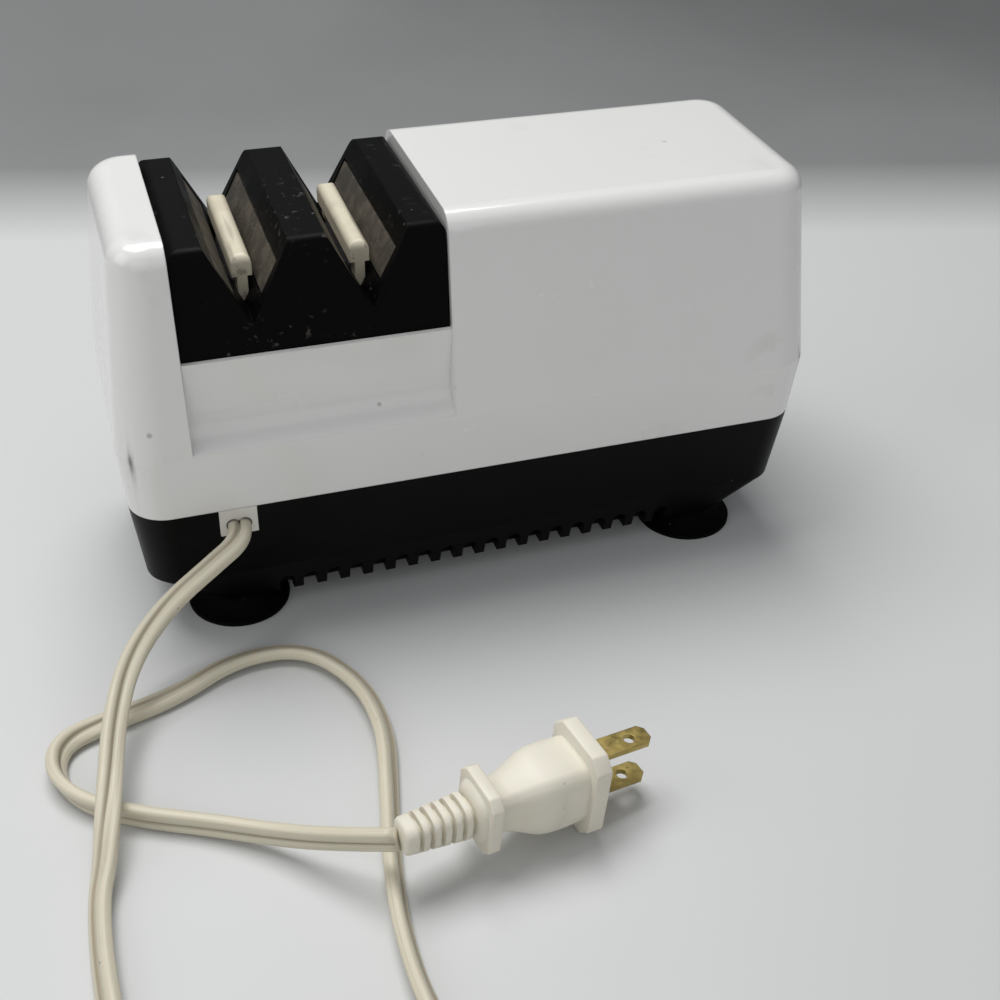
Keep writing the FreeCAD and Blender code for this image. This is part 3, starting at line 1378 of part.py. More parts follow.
def build_everything():
    make_base_tray()
    make_top_cover()
    make_guide_insert()
    make_guard_bar(slot_left_x, "guard_bar_left")
    make_guard_bar(slot_right_x, "guard_bar_right")
    for index, (centre, side) in enumerate(slot_walls):
        make_guide_plate(centre, side, f"guide_plate_{index + 1}")
        make_guide_magnet(centre, side, f"guide_magnet_{index + 1}")
    make_frame_plate(left_plate_x, "frame_plate_left")
    make_frame_plate(right_plate_x, "frame_plate_right")
    make_crank_bushes()
    make_frame_spacers()
    make_crankshaft(-1, "crankshaft_front")
    make_crankshaft(1, "crankshaft_rear")
    bore = crank_radius + press_gap
    make_gear("crank_gear_front", crank_gear_teeth, gear_width, bore, gear_x, -crank_y, 0)
    make_gear("crank_gear_rear", crank_gear_teeth, gear_width, bore, gear_x, crank_y, 0)
    make_gear("motor_pinion", pinion_teeth, gear_width + 1, motor_shaft_radius + press_gap,
              gear_x - 0.5, as_size(0), 180 / pinion_teeth)
    make_carriage()
    make_carriage_bushes()
    for centre, name in ((slot_left_x, "left"), (slot_right_x, "right")):
        make_wedge(centre, f"wedge_{name}")
        make_abrasive_pads(centre, f"abrasive_pads_{name}")
    make_stator()
    make_motor_coil()
    make_motor_bracket("motor_bracket_left", stator_left - bracket_gap)
    make_motor_bracket("motor_bracket_right", stator_right)
    make_motor_bushes()
    make_motor_bolts()
    make_rotor()
    make_fan()
    make_switch()
    for (x, y), name in zip(four_corners(foot_x, foot_y), ("back_right", "back_left", "front_left", "front_right")):
        make_foot(x, y, f"foot_{name}")
    make_screws("base_screws", four_corners(screw_x, screw_y), screw_seat_height, screw_length)
    make_screws("motor_screws", motor_screw_places, motor_screw_seat, motor_screw_length)
    make_gland()
    make_cord(outgoing_route, "cord_outgoing")
    make_cord(returning_route, "cord_returning")
    make_cord_coil()
    make_plug_body()
    make_plug_blades()


def check_and_write():
    """Stop on any failed feature or bad shape, then write one file for each sub-part."""
    document.recompute()
    failed = [item.Name for item in document.Objects if {"Invalid", "Error"} & set(item.State)]
    for item in sub_parts:
        if item.Shape.isNull() or not item.Shape.isValid():
            failed.append(item.Label)
    if failed:
        raise RuntimeError("failed objects: " + ", ".join(failed))
    os.makedirs("parts", exist_ok=True)
    for item in sub_parts:
        item.Shape.exportStep(f"parts/{item.Label}.step")
    print(len(sub_parts), "sub-parts written")


build_everything()
check_and_write()
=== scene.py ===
import math
import bmesh
import bpy
from mathutils import Matrix, Vector


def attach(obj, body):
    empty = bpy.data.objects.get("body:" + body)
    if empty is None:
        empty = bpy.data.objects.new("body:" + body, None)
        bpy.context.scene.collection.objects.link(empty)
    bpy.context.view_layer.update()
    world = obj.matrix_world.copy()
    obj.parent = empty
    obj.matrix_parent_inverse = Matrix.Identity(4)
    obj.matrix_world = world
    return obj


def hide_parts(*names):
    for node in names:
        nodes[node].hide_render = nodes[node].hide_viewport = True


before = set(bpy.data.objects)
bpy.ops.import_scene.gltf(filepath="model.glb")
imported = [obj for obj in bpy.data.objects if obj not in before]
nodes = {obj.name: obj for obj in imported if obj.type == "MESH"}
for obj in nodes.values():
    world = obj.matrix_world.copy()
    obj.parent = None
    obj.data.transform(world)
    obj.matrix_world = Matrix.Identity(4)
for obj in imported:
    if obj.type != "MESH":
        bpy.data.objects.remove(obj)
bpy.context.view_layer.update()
scene = bpy.context.scene
scene.view_settings.view_transform = "Standard"
print("frame loaded:", len(nodes), "nodes")


def finishPiece(name, mesh, material, body="housing", smooth=True):
    mesh.normal_update()
    data = bpy.data.meshes.new(name)
    mesh.to_mesh(data)
    mesh.free()
    piece = bpy.data.objects.new(name, data)
    scene.collection.objects.link(piece)
    data.materials.append(material)
    for face in data.polygons:
        face.use_smooth = smooth
    if body:
        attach(piece, body)
    return piece


camera = {
    "place": (-0.1076, -0.3529, 0.2777),
    "right": (0.94847, -0.31556, 0.02874),
    "up": (0.16698, 0.57484, 0.80105),
    "forward": (0.26929, 0.75497, -0.59791),
    "lens": 50.02,
}


def placeCamera():
    data = bpy.data.cameras.new("camera")
    data.lens = camera["lens"]
    data.sensor_width = 36
    data.clip_start = 0.01
    data.clip_end = 20
    eye = bpy.data.objects.new("camera", data)
    scene.collection.objects.link(eye)
    right, up, forward = (Vector(camera[key]) for key in ("right", "up", "forward"))
    turn = Matrix((right, up, -forward)).transposed().to_4x4()
    eye.matrix_world = Matrix.Translation(camera["place"]) @ turn
    scene.camera = eye


placeCamera()
print("camera placed")


class Recipe:
    # one procedural material, built up layer by layer on its principled shader

    def __init__(self, name, colour, roughness, edge=0.0004, **sockets):
        self.material = bpy.data.materials.new(name)
        self.material.use_nodes = True
        self.tree = self.material.node_tree
        self.shader = self.tree.nodes["Principled BSDF"]
        self.shader.inputs["Base Color"].default_value = (*colour, 1)
        self.shader.inputs["Roughness"].default_value = roughness
        for key, value in sockets.items():
            self.shader.inputs[key.replace("_", " ")].default_value = value
        self.colour = None
        self.plainColour = colour
        self.rough = None
        self.plainRough = roughness
        self.normal = None
        self.place = self.add("ShaderNodeTexCoord").outputs["Object"]
        if edge:
            bevel = self.add("ShaderNodeBevel")
            bevel.samples = 4
            bevel.inputs["Radius"].default_value = edge
            self.normal = bevel.outputs["Normal"]
            self.link(self.normal, self.shader.inputs["Normal"])

    def add(self, kind, **settings):
        node = self.tree.nodes.new(kind)
        for key, value in settings.items():
            setattr(node, key, value)
        return node

    def link(self, start, end):
        self.tree.links.new(start, end)

    def stretched(self, scale=(1, 1, 1), turn=(0, 0, 0)):
        mapping = self.add("ShaderNodeMapping")
        self.link(self.place, mapping.inputs["Vector"])
        mapping.inputs["Scale"].default_value = scale
        mapping.inputs["Rotation"].default_value = [math.radians(angle) for angle in turn]
        return mapping.outputs["Vector"]

    def clamped(self, value, low, high, bottom=0.0, top=1.0):
        reach = self.add("ShaderNodeMapRange")
        self.link(value, reach.inputs["Value"])
        for key, number in (("From Min", low), ("From Max", high), ("To Min", bottom), ("To Max", top)):
            reach.inputs[key].default_value = number
        return reach.outputs["Result"]

    def noise(self, scale, low=0.4, high=0.6, detail=4, vector=None, rough=0.55):
        cloud = self.add("ShaderNodeTexNoise")
        self.link(vector or self.place, cloud.inputs["Vector"])
        cloud.inputs["Scale"].default_value = scale
        cloud.inputs["Detail"].default_value = detail
        cloud.inputs["Roughness"].default_value = rough
        return self.clamped(cloud.outputs["Fac"], low, high)

    def specks(self, scale, size, share, vector=None):
        # round specks in a share of the cells
        cells = self.add("ShaderNodeTexVoronoi")
        self.link(vector or self.place, cells.inputs["Vector"])
        cells.inputs["Scale"].default_value = scale
        near = self.clamped(cells.outputs["Distance"], size, size * 0.5)
        split = self.add("ShaderNodeSeparateColor")
        self.link(cells.outputs["Color"], split.inputs["Color"])
        chosen = self.clamped(split.outputs["Red"], share, share - 0.02)
        return self.times(near, chosen)

    def bands(self, scale, low, high, axis="X", distortion=0.0, vector=None):
        wave = self.add("ShaderNodeTexWave", bands_direction=axis)
        self.link(vector or self.place, wave.inputs["Vector"])
        wave.inputs["Scale"].default_value = scale
        wave.inputs["Distortion"].default_value = distortion
        return self.clamped(wave.outputs["Fac"], low, high)

    def math(self, operation, first, second=None):
        node = self.add("ShaderNodeMath", operation=operation)
        for index, value in enumerate((first, second)):
            if value is None:
                continue
            if isinstance(value, (int, float)):
                node.inputs[index].default_value = value
            else:
                self.link(value, node.inputs[index])
        return node.outputs["Value"]

    def times(self, first, second):
        return self.math("MULTIPLY", first, second)

    def near(self, centre, inner, outer):
        # 1 inside a ball round centre, fading to 0 outside it
        gap = self.add("ShaderNodeVectorMath", operation="DISTANCE")
        self.link(self.place, gap.inputs[0])
        gap.inputs[1].default_value = centre
        return self.clamped(gap.outputs["Value"], outer, inner)

    def paint(self, mask, colour, amount=1.0):
        mix = self.add("ShaderNodeMix", data_type="RGBA")
        self.link(self.times(mask, amount), mix.inputs["Factor"])
        if self.colour is None:
            mix.inputs["A"].default_value = (*self.plainColour, 1)
        else:
            self.link(self.colour, mix.inputs["A"])
        mix.inputs["B"].default_value = (*colour, 1)
        self.colour = mix.outputs["Result"]
        self.link(self.colour, self.shader.inputs["Base Color"])
        return self

    def roughen(self, mask, roughness, amount=1.0):
        mix = self.add("ShaderNodeMix", data_type="FLOAT")
        self.link(self.times(mask, amount), mix.inputs["Factor"])
        if self.rough is None:
            mix.inputs["A"].default_value = self.plainRough
        else:
            self.link(self.rough, mix.inputs["A"])
        mix.inputs["B"].default_value = roughness
        self.rough = mix.outputs["Result"]
        self.link(self.rough, self.shader.inputs["Roughness"])
        return self

    def emboss(self, height, distance, strength=1.0):
        bump = self.add("ShaderNodeBump")
        bump.inputs["Distance"].default_value = distance
        bump.inputs["Strength"].default_value = strength
        self.link(height, bump.inputs["Height"])
        if self.normal is not None:
            self.link(self.normal, bump.inputs["Normal"])
        self.normal = bump.outputs["Normal"]
        self.link(self.normal, self.shader.inputs["Normal"])
        return self


def coverWhite():
    r = Recipe("coverWhite", (0.80, 0.795, 0.775), 0.2, edge=0.0007, Coat_Weight=0.7, Coat_Roughness=0.06)
    r.paint(r.noise(14, 0.35, 0.75), (0.76, 0.752, 0.725), 0.5)
    r.paint(r.specks(95, 0.09, 0.10), (0.28, 0.26, 0.23), 0.7)
    r.paint(r.specks(33, 0.05, 0.16), (0.16, 0.15, 0.14), 0.85)
    r.paint(r.times(r.noise(60, 0.62, 0.7), r.noise(9, 0.5, 0.62)), (0.50, 0.49, 0.46), 0.2)
    r.roughen(r.noise(35, 0.4, 0.7), 0.34, 0.6)
    return r.emboss(r.noise(120, 0, 1, detail=2), 0.00002, 0.5).material


def trayBlack():
    r = Recipe("trayBlack", (0.0016, 0.0016, 0.0018), 0.34, edge=0.0006, Specular_IOR_Level=0.08)
    r.paint(r.noise(50, 0.5, 0.75), (0.0030, 0.0030, 0.0034), 0.7)
    r.paint(r.specks(120, 0.05, 0.08), (0.12, 0.12, 0.115), 0.5)
    r.roughen(r.noise(22, 0.4, 0.7), 0.5, 0.7)
    return r.emboss(r.noise(1400, 0.2, 0.8, detail=2), 0.00003, 0.4).material


def insertBlack():
    r = Recipe("insertBlack", (0.0014, 0.0014, 0.0016), 0.4, edge=0.0007, Specular_IOR_Level=0.06)
    r.paint(r.specks(230, 0.12, 0.12), (0.16, 0.155, 0.15), 0.55)
    r.paint(r.times(r.noise(420, 0.62, 0.7), r.noise(30, 0.5, 0.62)), (0.12, 0.11, 0.10), 0.5)
    r.roughen(r.noise(90, 0.4, 0.7), 0.55, 0.8)
    return r.emboss(r.noise(1700, 0.2, 0.8, detail=2), 0.00003, 0.5).material


def barIvory():
    r = Recipe("barIvory", (0.72, 0.66, 0.51), 0.42, edge=0.0004)
    scratches = r.noise(260, 0.60, 0.66, vector=r.stretched((1.0, 0.06, 1.0), (0, 0, 55)))
    crossed = r.noise(330, 0.61, 0.66, vector=r.stretched((1.0, 0.05, 1.0), (0, 0, 112)))
    r.paint(scratches, (0.22, 0.20, 0.17), 0.6)
    r.paint(crossed, (0.30, 0.27, 0.22), 0.5)
    r.paint(r.noise(120, 0.5, 0.75), (0.52, 0.46, 0.35), 0.5)
    return r.emboss(scratches, -0.00005, 0.6).material


def dustySteel():
    r = Recipe("dustySteel", (0.10, 0.09, 0.075), 0.55, edge=0.0002, Metallic=0.7)
    r.paint(r.noise(160, 0.45, 0.7), (0.20, 0.17, 0.13), 0.8)
    r.paint(r.specks(700, 0.3, 0.3), (0.34, 0.31, 0.27), 0.5)
    r.roughen(r.noise(200, 0.4, 0.7), 0.75)
    return r.emboss(r.noise(900, 0.3, 0.7), 0.00006, 0.6).material


def footRubber():
    r = Recipe("footRubber", (0.0014, 0.0014, 0.0015), 0.55, edge=0.0005, Specular_IOR_Level=0.07)
    r.paint(r.noise(140, 0.5, 0.75), (0.003, 0.003, 0.003), 0.7)
    r.paint(r.specks(260, 0.12, 0.10), (0.22, 0.21, 0.20), 0.5)
    r.roughen(r.noise(60, 0.4, 0.7), 0.72)
    return r.emboss(r.noise(900, 0.3, 0.7), 0.00003, 0.5).material


def vinyl(name, colour, soil, edge):
    r = Recipe(name, colour, 0.4, edge=edge, Subsurface_Weight=0.12, Subsurface_Scale=0.001)
    r.paint(r.noise(45, 0.42, 0.7), soil, 0.45)
    r.paint(r.specks(210, 0.10, 0.14), (0.20, 0.17, 0.12), 0.55)
    r.roughen(r.noise(80, 0.4, 0.7), 0.55)
    return r


def leadVinyl(stations):
    # cream vinyl: darker along the grooves, faint draw lines along it and specks
    r = Recipe("leadVinyl", (0.64, 0.595, 0.465), 0.42, edge=0, Subsurface_Weight=0.1, Subsurface_Scale=0.001)
    along = r.add("ShaderNodeUVMap", uv_map="along").outputs["UV"]
    across = r.add("ShaderNodeSeparateXYZ")
    r.link(along, across.inputs["Vector"])
    place = across.outputs["X"]
    drawn = r.add("ShaderNodeMapping")
    r.link(along, drawn.inputs["Vector"])
    drawn.inputs["Scale"].default_value = (46, 16, 1)
    r.paint(r.noise(26, 0.35, 0.7), (0.69, 0.64, 0.505), 0.6)
    r.paint(r.noise(1.0, 0.52, 0.62, detail=2, vector=drawn.outputs["Vector"]), (0.47, 0.43, 0.325), 0.45)
    for groove in (11 / stations, 1 - 1 / stations):
        gap = r.math("ABSOLUTE", r.math("SUBTRACT", place, groove))
        r.paint(r.clamped(gap, 0.9 / stations, 0.2 / stations), (0.26, 0.21, 0.14), 0.7)
    r.paint(r.specks(330, 0.10, 0.10), (0.12, 0.10, 0.07), 0.6)
    r.paint(r.specks(150, 0.06, 0.12), (0.07, 0.06, 0.05), 0.7)
    r.roughen(r.noise(80, 0.4, 0.7), 0.55)
    return r.emboss(r.noise(700, 0.3, 0.7), 0.00002, 0.5).material


def plugWhite():
    r = vinyl("plugWhite", (0.77, 0.73, 0.62), (0.68, 0.635, 0.52), 0.0003)
    return r.emboss(r.noise(500, 0.3, 0.7), 0.00003, 0.4).material


def brass():
    r = Recipe("brass", (0.52, 0.41, 0.145), 0.26, edge=0.0002, Metallic=1.0)
    r.paint(r.noise(190, 0.4, 0.65), (0.34, 0.25, 0.085), 0.7)
    r.paint(r.specks(420, 0.16, 0.18), (0.13, 0.10, 0.05), 0.7)
    r.roughen(r.noise(300, 0.35, 0.7), 0.5)
    return r.emboss(r.noise(500, 0.3, 0.7, vector=r.stretched((0.1, 1, 1), (0, 0, 10))), 0.00002).material


def plainMetal(name, colour, roughness, grain, turn=(1, 1, 1)):
    r = Recipe(name, colour, roughness, edge=0.0002, Metallic=1.0)
    r.paint(r.noise(grain, 0.4, 0.7, vector=r.stretched(turn)), [c * 0.72 for c in colour], 0.7)
    r.roughen(r.noise(grain * 0.6, 0.35, 0.7), min(roughness + 0.2, 1))
    return r.emboss(r.noise(grain * 2, 0.2, 0.8, vector=r.stretched(turn)), 0.00001).material


def plainMoulding(name, colour, roughness):
    r = Recipe(name, colour, roughness, edge=0.0003)
    r.paint(r.noise(70, 0.4, 0.7), [c * 0.86 for c in colour], 0.7)
    r.roughen(r.noise(40, 0.4, 0.7), min(roughness + 0.15, 1))
    return r.emboss(r.noise(800, 0.2, 0.8), 0.00002, 0.5).material


def glandWhite():
    r = Recipe("glandWhite", (0.74, 0.72, 0.66), 0.4, edge=0.0003)
    r.paint(r.noise(70, 0.4, 0.7), (0.64, 0.62, 0.56), 0.7)
    for side in (-1, 1):  # a dark rim round each core where it goes in
        core = (-0.0732 + side * 0.00165, -0.0402, 0.0378)
        # painted shade: the dark ring round each core stands in for the shadow inside the hole where the core goes in
        r.paint(r.near(core, 0.00185, 0.00215), (0.05, 0.042, 0.032), 0.9)
    r.roughen(r.noise(40, 0.4, 0.7), 0.55)
    return r.emboss(r.noise(800, 0.2, 0.8), 0.00002, 0.5).material


def laminatedSteel():
    r = Recipe("laminatedSteel", (0.30, 0.30, 0.31), 0.42, edge=0.0002, Metallic=0.9)
    sheets = r.bands(320, 0.1, 0.5)
    r.paint(sheets, (0.16, 0.16, 0.17), 0.7)
    r.paint(r.noise(90, 0.55, 0.75), (0.25, 0.17, 0.11), 0.5)
    return r.emboss(sheets, 0.00004).material


def tapedWinding():
    r = Recipe("tapedWinding", (0.62, 0.46, 0.14), 0.35, edge=0.0005)
    wraps = r.bands(22, 0.45, 0.5, axis="DIAGONAL")
    r.paint(wraps, (0.50, 0.35, 0.10), 0.7)
    r.paint(r.noise(60, 0.5, 0.75), (0.36, 0.20, 0.07), 0.5)
    return r.emboss(wraps, 0.00012).material


def abrasiveGrit():
    r = Recipe("abrasiveGrit", (0.16, 0.16, 0.17), 0.6, edge=0, Metallic=0.6)
    grit = r.specks(2600, 0.5, 0.9)
    r.paint(grit, (0.42, 0.42, 0.44), 0.7)
    r.paint(r.noise(90, 0.5, 0.7), (0.22, 0.16, 0.11), 0.6)
    return r.emboss(grit, 0.0001).material


whiteFinish = coverWhite()
blackFinish = trayBlack()
insertFinish = insertBlack()
ivoryFinish = barIvory()
plateFinish = dustySteel()
footFinish = footRubber()
plugFinish = plugWhite()
brassFinish = brass()
turnedSteel = plainMetal("turnedSteel", (0.60, 0.60, 0.62), 0.3, 320, (0.1, 1, 1))
sheetSteel = plainMetal("sheetSteel", (0.55, 0.56, 0.57), 0.4, 140)
bronzeFinish = plainMetal("bronzeFinish", (0.50, 0.33, 0.16), 0.45, 260)
castMetal = plainMetal("castMetal", (0.48, 0.48, 0.49), 0.5, 200)
magnetFinish = plainMetal("magnetFinish", (0.10, 0.10, 0.11), 0.5, 260)
gearFinish = plainMoulding("gearFinish", (0.74, 0.71, 0.62), 0.45)
carriageFinish = plainMoulding("carriageFinish", (0.05, 0.05, 0.055), 0.5)
fanFinish = plainMoulding("fanFinish", (0.62, 0.61, 0.56), 0.45)
switchFinish = plainMoulding("switchFinish", (0.012, 0.012, 0.013), 0.22)
glandFinish = glandWhite()
lamination = laminatedSteel()
winding = tapedWinding()
grit = abrasiveGrit()

nodeFinishes = {
    "top_cover": whiteFinish, "base_tray": blackFinish, "guide_insert": insertFinish,
    "guard_bar": ivoryFinish, "guide_plate": plateFinish, "guide_magnet": magnetFinish,
    "frame_plate": sheetSteel, "frame_spacers": turnedSteel, "crank_bushes": bronzeFinish,
    "crankshaft": turnedSteel, "crank_gear": gearFinish, "motor_pinion": gearFinish,
    "orbit_carriage": carriageFinish, "carriage_bushes": bronzeFinish, "wedge": castMetal,
    "abrasive_pads": grit, "motor_stator": lamination, "motor_coil": winding,
    "motor_bracket": sheetSteel, "motor_bushes": bronzeFinish, "motor_bolts": turnedSteel,
    "motor_screws": turnedSteel, "motor_shaft": turnedSteel, "rotor_core": lamination,
    "cooling_fan": fanFinish, "switch": switchFinish, "foot": footFinish,
    "base_screws": turnedSteel, "cord_gland": glandFinish, "plug_body": plugFinish,
    "plug_blades": brassFinish, "cord_": plugFinish,
}


def dressNodes():
    for name, node in nodes.items():
        finish = [value for key, value in nodeFinishes.items() if name.startswith(key)][0]
        node.data.materials.clear()
        node.data.materials.append(finish)


dressNodes()
print("CAD nodes dressed")


lead = {
    "length": 1.5,
    "width": 0.0064,
    "halfWidth": 0.0032,
    "halfThickness": 0.00165,
    "cornerRadius": 0.0013,
    "groove": 0.0006,
    "partedGroove": 0.0014,
    "partedLength": 0.007,
    "coilCentre": (-0.092, -0.226),
    "coilRadii": [(180, 0.0425, 0), (540, 0.0355, 0), (900, 0.0305, 0), (990, 0.0330, 1),
                  (1350, 0.0398, 1), (1680, 0.0425, 1)],
    "coilStep": 24,
}
lie = 0.0017  # height of the lead's middle where it lies flat
exitHeight = 0.0378
outgoing = [
    (-0.0732, -0.0402, exitHeight), (-0.0732, -0.0468, exitHeight), (-0.0830, -0.0510, 0.0334),
    (-0.0965, -0.0530, 0.0240), (-0.1085, -0.0625, 0.0160), (-0.1150, -0.0800, 0.0122),
    (-0.1183, -0.1010, 0.0114), (-0.1208, -0.1140, 0.0082), (-0.1224, -0.1215, 0.0050),
    (-0.1246, -0.1285, lie), (-0.1254, -0.1380, lie), (-0.1257, -0.1500, lie),
    (-0.1252, -0.1640, lie), (-0.1280, -0.1860, lie), (-0.1330, -0.2140, lie),
]
outgoingRolls = [0, 0, 6, 14, 22, 34, 24, -14, -30, -44, -50, -50, -40, -15, 0]
returning = [
    (-0.0505, -0.2180, lie), (-0.0535, -0.1980, lie), (-0.0586, -0.1800, lie), (-0.0588, -0.1580, lie),
    (-0.0556, -0.1370, lie), (-0.0506, -0.1160, lie), (-0.0460, -0.0950, lie), (-0.0485, -0.0750, lie),
    (-0.0600, -0.0575, lie), (-0.0800, -0.0560, lie), (-0.0990, -0.0660, lie), (-0.1170, -0.0705, lie),
    (-0.1298, -0.0756, lie), (-0.1322, -0.0874, lie), (-0.1255, -0.0990, lie), (-0.1120, -0.1075, lie),
    (-0.0970, -0.1145, lie), (-0.0820, -0.1240, 0.0052), (-0.0700, -0.1340, 0.0106),
    (-0.0558, -0.1439, 0.0169),
]
returningRolls = [0, -30, -60, -66, -64, -60, -48, -40, -28, -22, -5, 10, 45, 66, 82, 92, 95, 95, 92, 90]


def coilPoints():
    # put away turns, the first layer inwards and the second outwards on top of it
    points = []
    stations = lead["coilRadii"]
    for (startAngle, startRadius, startLayer), (endAngle, endRadius, endLayer) in zip(stations, stations[1:]):
        steps = max(1, round((endAngle - startAngle) / lead["coilStep"]))
        for step in range(steps):
            share = step / steps
            angle = math.radians(startAngle + share * (endAngle - startAngle))
            radius = startRadius + share * (endRadius - startRadius)
            layer = startLayer + share * (endLayer - startLayer)
            points.append((lead["coilCentre"][0] + radius * math.cos(angle),
                           lead["coilCentre"][1] + radius * math.sin(angle),
                           lie + layer * 2.06 * lead["halfThickness"]))
    return points


def splineLine(points):
    # the points that a smooth line through these control points passes
    data = bpy.data.curves.new("route", "CURVE")
    data.dimensions = "3D"
    data.resolution_u = 14
    spline = data.splines.new("NURBS")
    spline.points.add(len(points) - 1)
    for point, place in zip(spline.points, points):
        point.co = (*place, 1)
    spline.order_u = 3
    spline.use_endpoint_u = True
    holder = bpy.data.objects.new("route", data)
    line = bpy.data.meshes.new_from_object(holder)
    places = [vertex.co.copy() for vertex in line.vertices]
    bpy.data.objects.remove(holder)
    bpy.data.curves.remove(data)
    bpy.data.meshes.remove(line)
    return places


def twinSection(parted=0.0):
    # half turn of a flat twin section with round corners, and a groove in the middle of each flat side;
    # parted 1 makes it two round cores side by side
    radius = lead["cornerRadius"] + parted * (lead["halfThickness"] - lead["cornerRadius"])
    groove = lead["groove"] + parted * (lead["partedGroove"] - lead["groove"])
    reach = lead["halfWidth"] - radius
    rise = lead["halfThickness"] - radius
    half = [(0.0005, -lead["halfThickness"])]
    for middle, start in (((reach, -rise), -90), ((reach, rise), 0)):
        for step in range(5):
            angle = math.radians(start + 22.5 * step)
            half.append((middle[0] + radius * math.cos(angle), middle[1] + radius * math.sin(angle)))
    half += [(0.0005, lead["halfThickness"]), (0, lead["halfThickness"] - groove)]
    return half + [(-x, -y) for x, y in half]


def restHeight(roll):
    # height of the middle of the lead where it lies on the worktop, turned by this angle about its run
    radius = lead["cornerRadius"]
    lean = abs(math.sin(roll)) * (lead["halfWidth"] - radius)
    return radius + lean + abs(math.cos(roll)) * (lead["halfThickness"] - radius) + 0.00005


def makeLead():
    coil = coilPoints()
    route = outgoing + coil + returning
    rolls = [math.radians(angle) for angle in outgoingRolls + [0] * len(coil) + returningRolls]
    settled = [(x, y, restHeight(roll) if z == lie else z) for (x, y, z), roll in zip(route, rolls)]
    line = splineLine(settled)
    turns = [place.z for place in splineLine([(x, y, roll) for (x, y, z), roll in zip(route, rolls)])]
    outline = twinSection()
    mesh = bmesh.new()
    unwrapped = mesh.loops.layers.uv.new("along")
    rings = []
    travelled = 0
    for index, place in enumerate(line):
        before = line[max(index - 1, 0)]
        after = line[min(index + 1, len(line) - 1)]
        if index:
            travelled += (place - before).length
        ahead = (after - before).normalized()
        level = ahead.cross(Vector((0, 0, 1))).normalized()
        above = level.cross(ahead).normalized()
        side = level * math.cos(turns[index]) + above * math.sin(turns[index])
        over = side.cross(ahead).normalized()
        section = twinSection(max(0.0, 1 - travelled / lead["partedLength"]))
        rings.append(([mesh.verts.new(place + side * x + over * y) for x, y in section], travelled))
    for (first, start), (second, end) in zip(rings, rings[1:]):
        for index in range(len(outline)):
            following = (index + 1) % len(outline)
            face = mesh.faces.new((first[index], first[following], second[following], second[index]))
            across = (index / len(outline), (index + 1) / len(outline))
            for loop, spot in zip(face.loops, ((across[0], start), (across[1], start),
                                               (across[1], end), (across[0], end))):
                loop[unwrapped].uv = spot
    mesh.faces.new(rings[0][0][::-1])
    mesh.faces.new(rings[-1][0])
    bmesh.ops.recalc_face_normals(mesh, faces=mesh.faces)
    piece = finishPiece("twinLead", mesh, leadVinyl(len(outline)))
    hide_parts("cord_outgoing", "cord_returning", "cord_coil")
    print("lead laid,", round(travelled, 3), "m")


plug = {
    "origin": (-0.0040, -0.1343, 0.0134),
    "heading": 10.3,
    "dip": 4.1,
    "segments": 48,
    "tail": -0.052,
    "flangeSize": (0.0045, 0.0212, 0.0264),
    "flangeChamfer": 0.0034,
    "collarSize": (0.0034, 0.0170, 0.0188),
    "collarChamfer": 0.0026,
    "collarPlace": -0.0303,
    "edgeRound": 0.00045,
    "seamAngle": 120,
    "seamRise": 0.00014,
    "grooves": 6,
    "grooveStart": -0.0488,
    "groovePitch": 0.00275,
    "grooveWidth": 0.0012,
    "grooveDepth": 0.0015,
    "webAngles": ((228, 20), (250, 340)),
    "webReach": 15,
    "reliefHalf": (0.0042, 0.0054),
    "reliefEnd": -0.0336,
    # place along the plug, half width, half height, squareness
    "grip": [(-0.0328, 0.0066, 0.0070, 3.0), (-0.0318, 0.0072, 0.0078, 3.0), (-0.0290, 0.0070, 0.0076, 3.0),
             (-0.0278, 0.0064, 0.0068, 3.0), (-0.0258, 0.0062, 0.0066, 3.0), (-0.0236, 0.0065, 0.0070, 3.2),
             (-0.0214, 0.0072, 0.0078, 3.4), (-0.0192, 0.0080, 0.0087, 3.6), (-0.0170, 0.0086, 0.0094, 3.8),
             (-0.0146, 0.0089, 0.0097, 4.0), (-0.0120, 0.0090, 0.0098, 4.0), (-0.0095, 0.0090, 0.0098, 4.0),
             (-0.0070, 0.0089, 0.0097, 4.0), (-0.0044, 0.0088, 0.0096, 4.0), (-0.0030, 0.0088, 0.0096, 4.0)],
    "panel": (-0.0130, -0.0064),
    "panelRim": 0.0006,
    "panelDepth": 0.0004,
}


def plugSections():
    # place, half width, half height, squareness, groove depth and the web's angles for each ring
    def relief(place):
        share = (place - plug["tail"]) / (plug["reliefEnd"] - plug["tail"])
        return plug["reliefHalf"][0] + share * (plug["reliefHalf"][1] - plug["reliefHalf"][0])

    rings = []
    for step, shrink in ((0, 0.0008), (0.0003, 0.0003), (0.0008, 0)):
        place = plug["tail"] + step
        rings.append((place, relief(place) - shrink, relief(place) - shrink, 3.0, 0, ()))
    for index in range(plug["grooves"]):
        start = plug["grooveStart"] + index * plug["groovePitch"]
        end = start + plug["grooveWidth"]
        webs = plug["webAngles"][index % 2]
        for place, depth in ((start, 0), (start + 0.0001, plug["grooveDepth"]),
                             (end - 0.0001, plug["grooveDepth"]), (end, 0)):
            rings.append((place, relief(place), relief(place), 3.0, depth, webs))
    return rings + [(*station, 0, ()) for station in plug["grip"]]


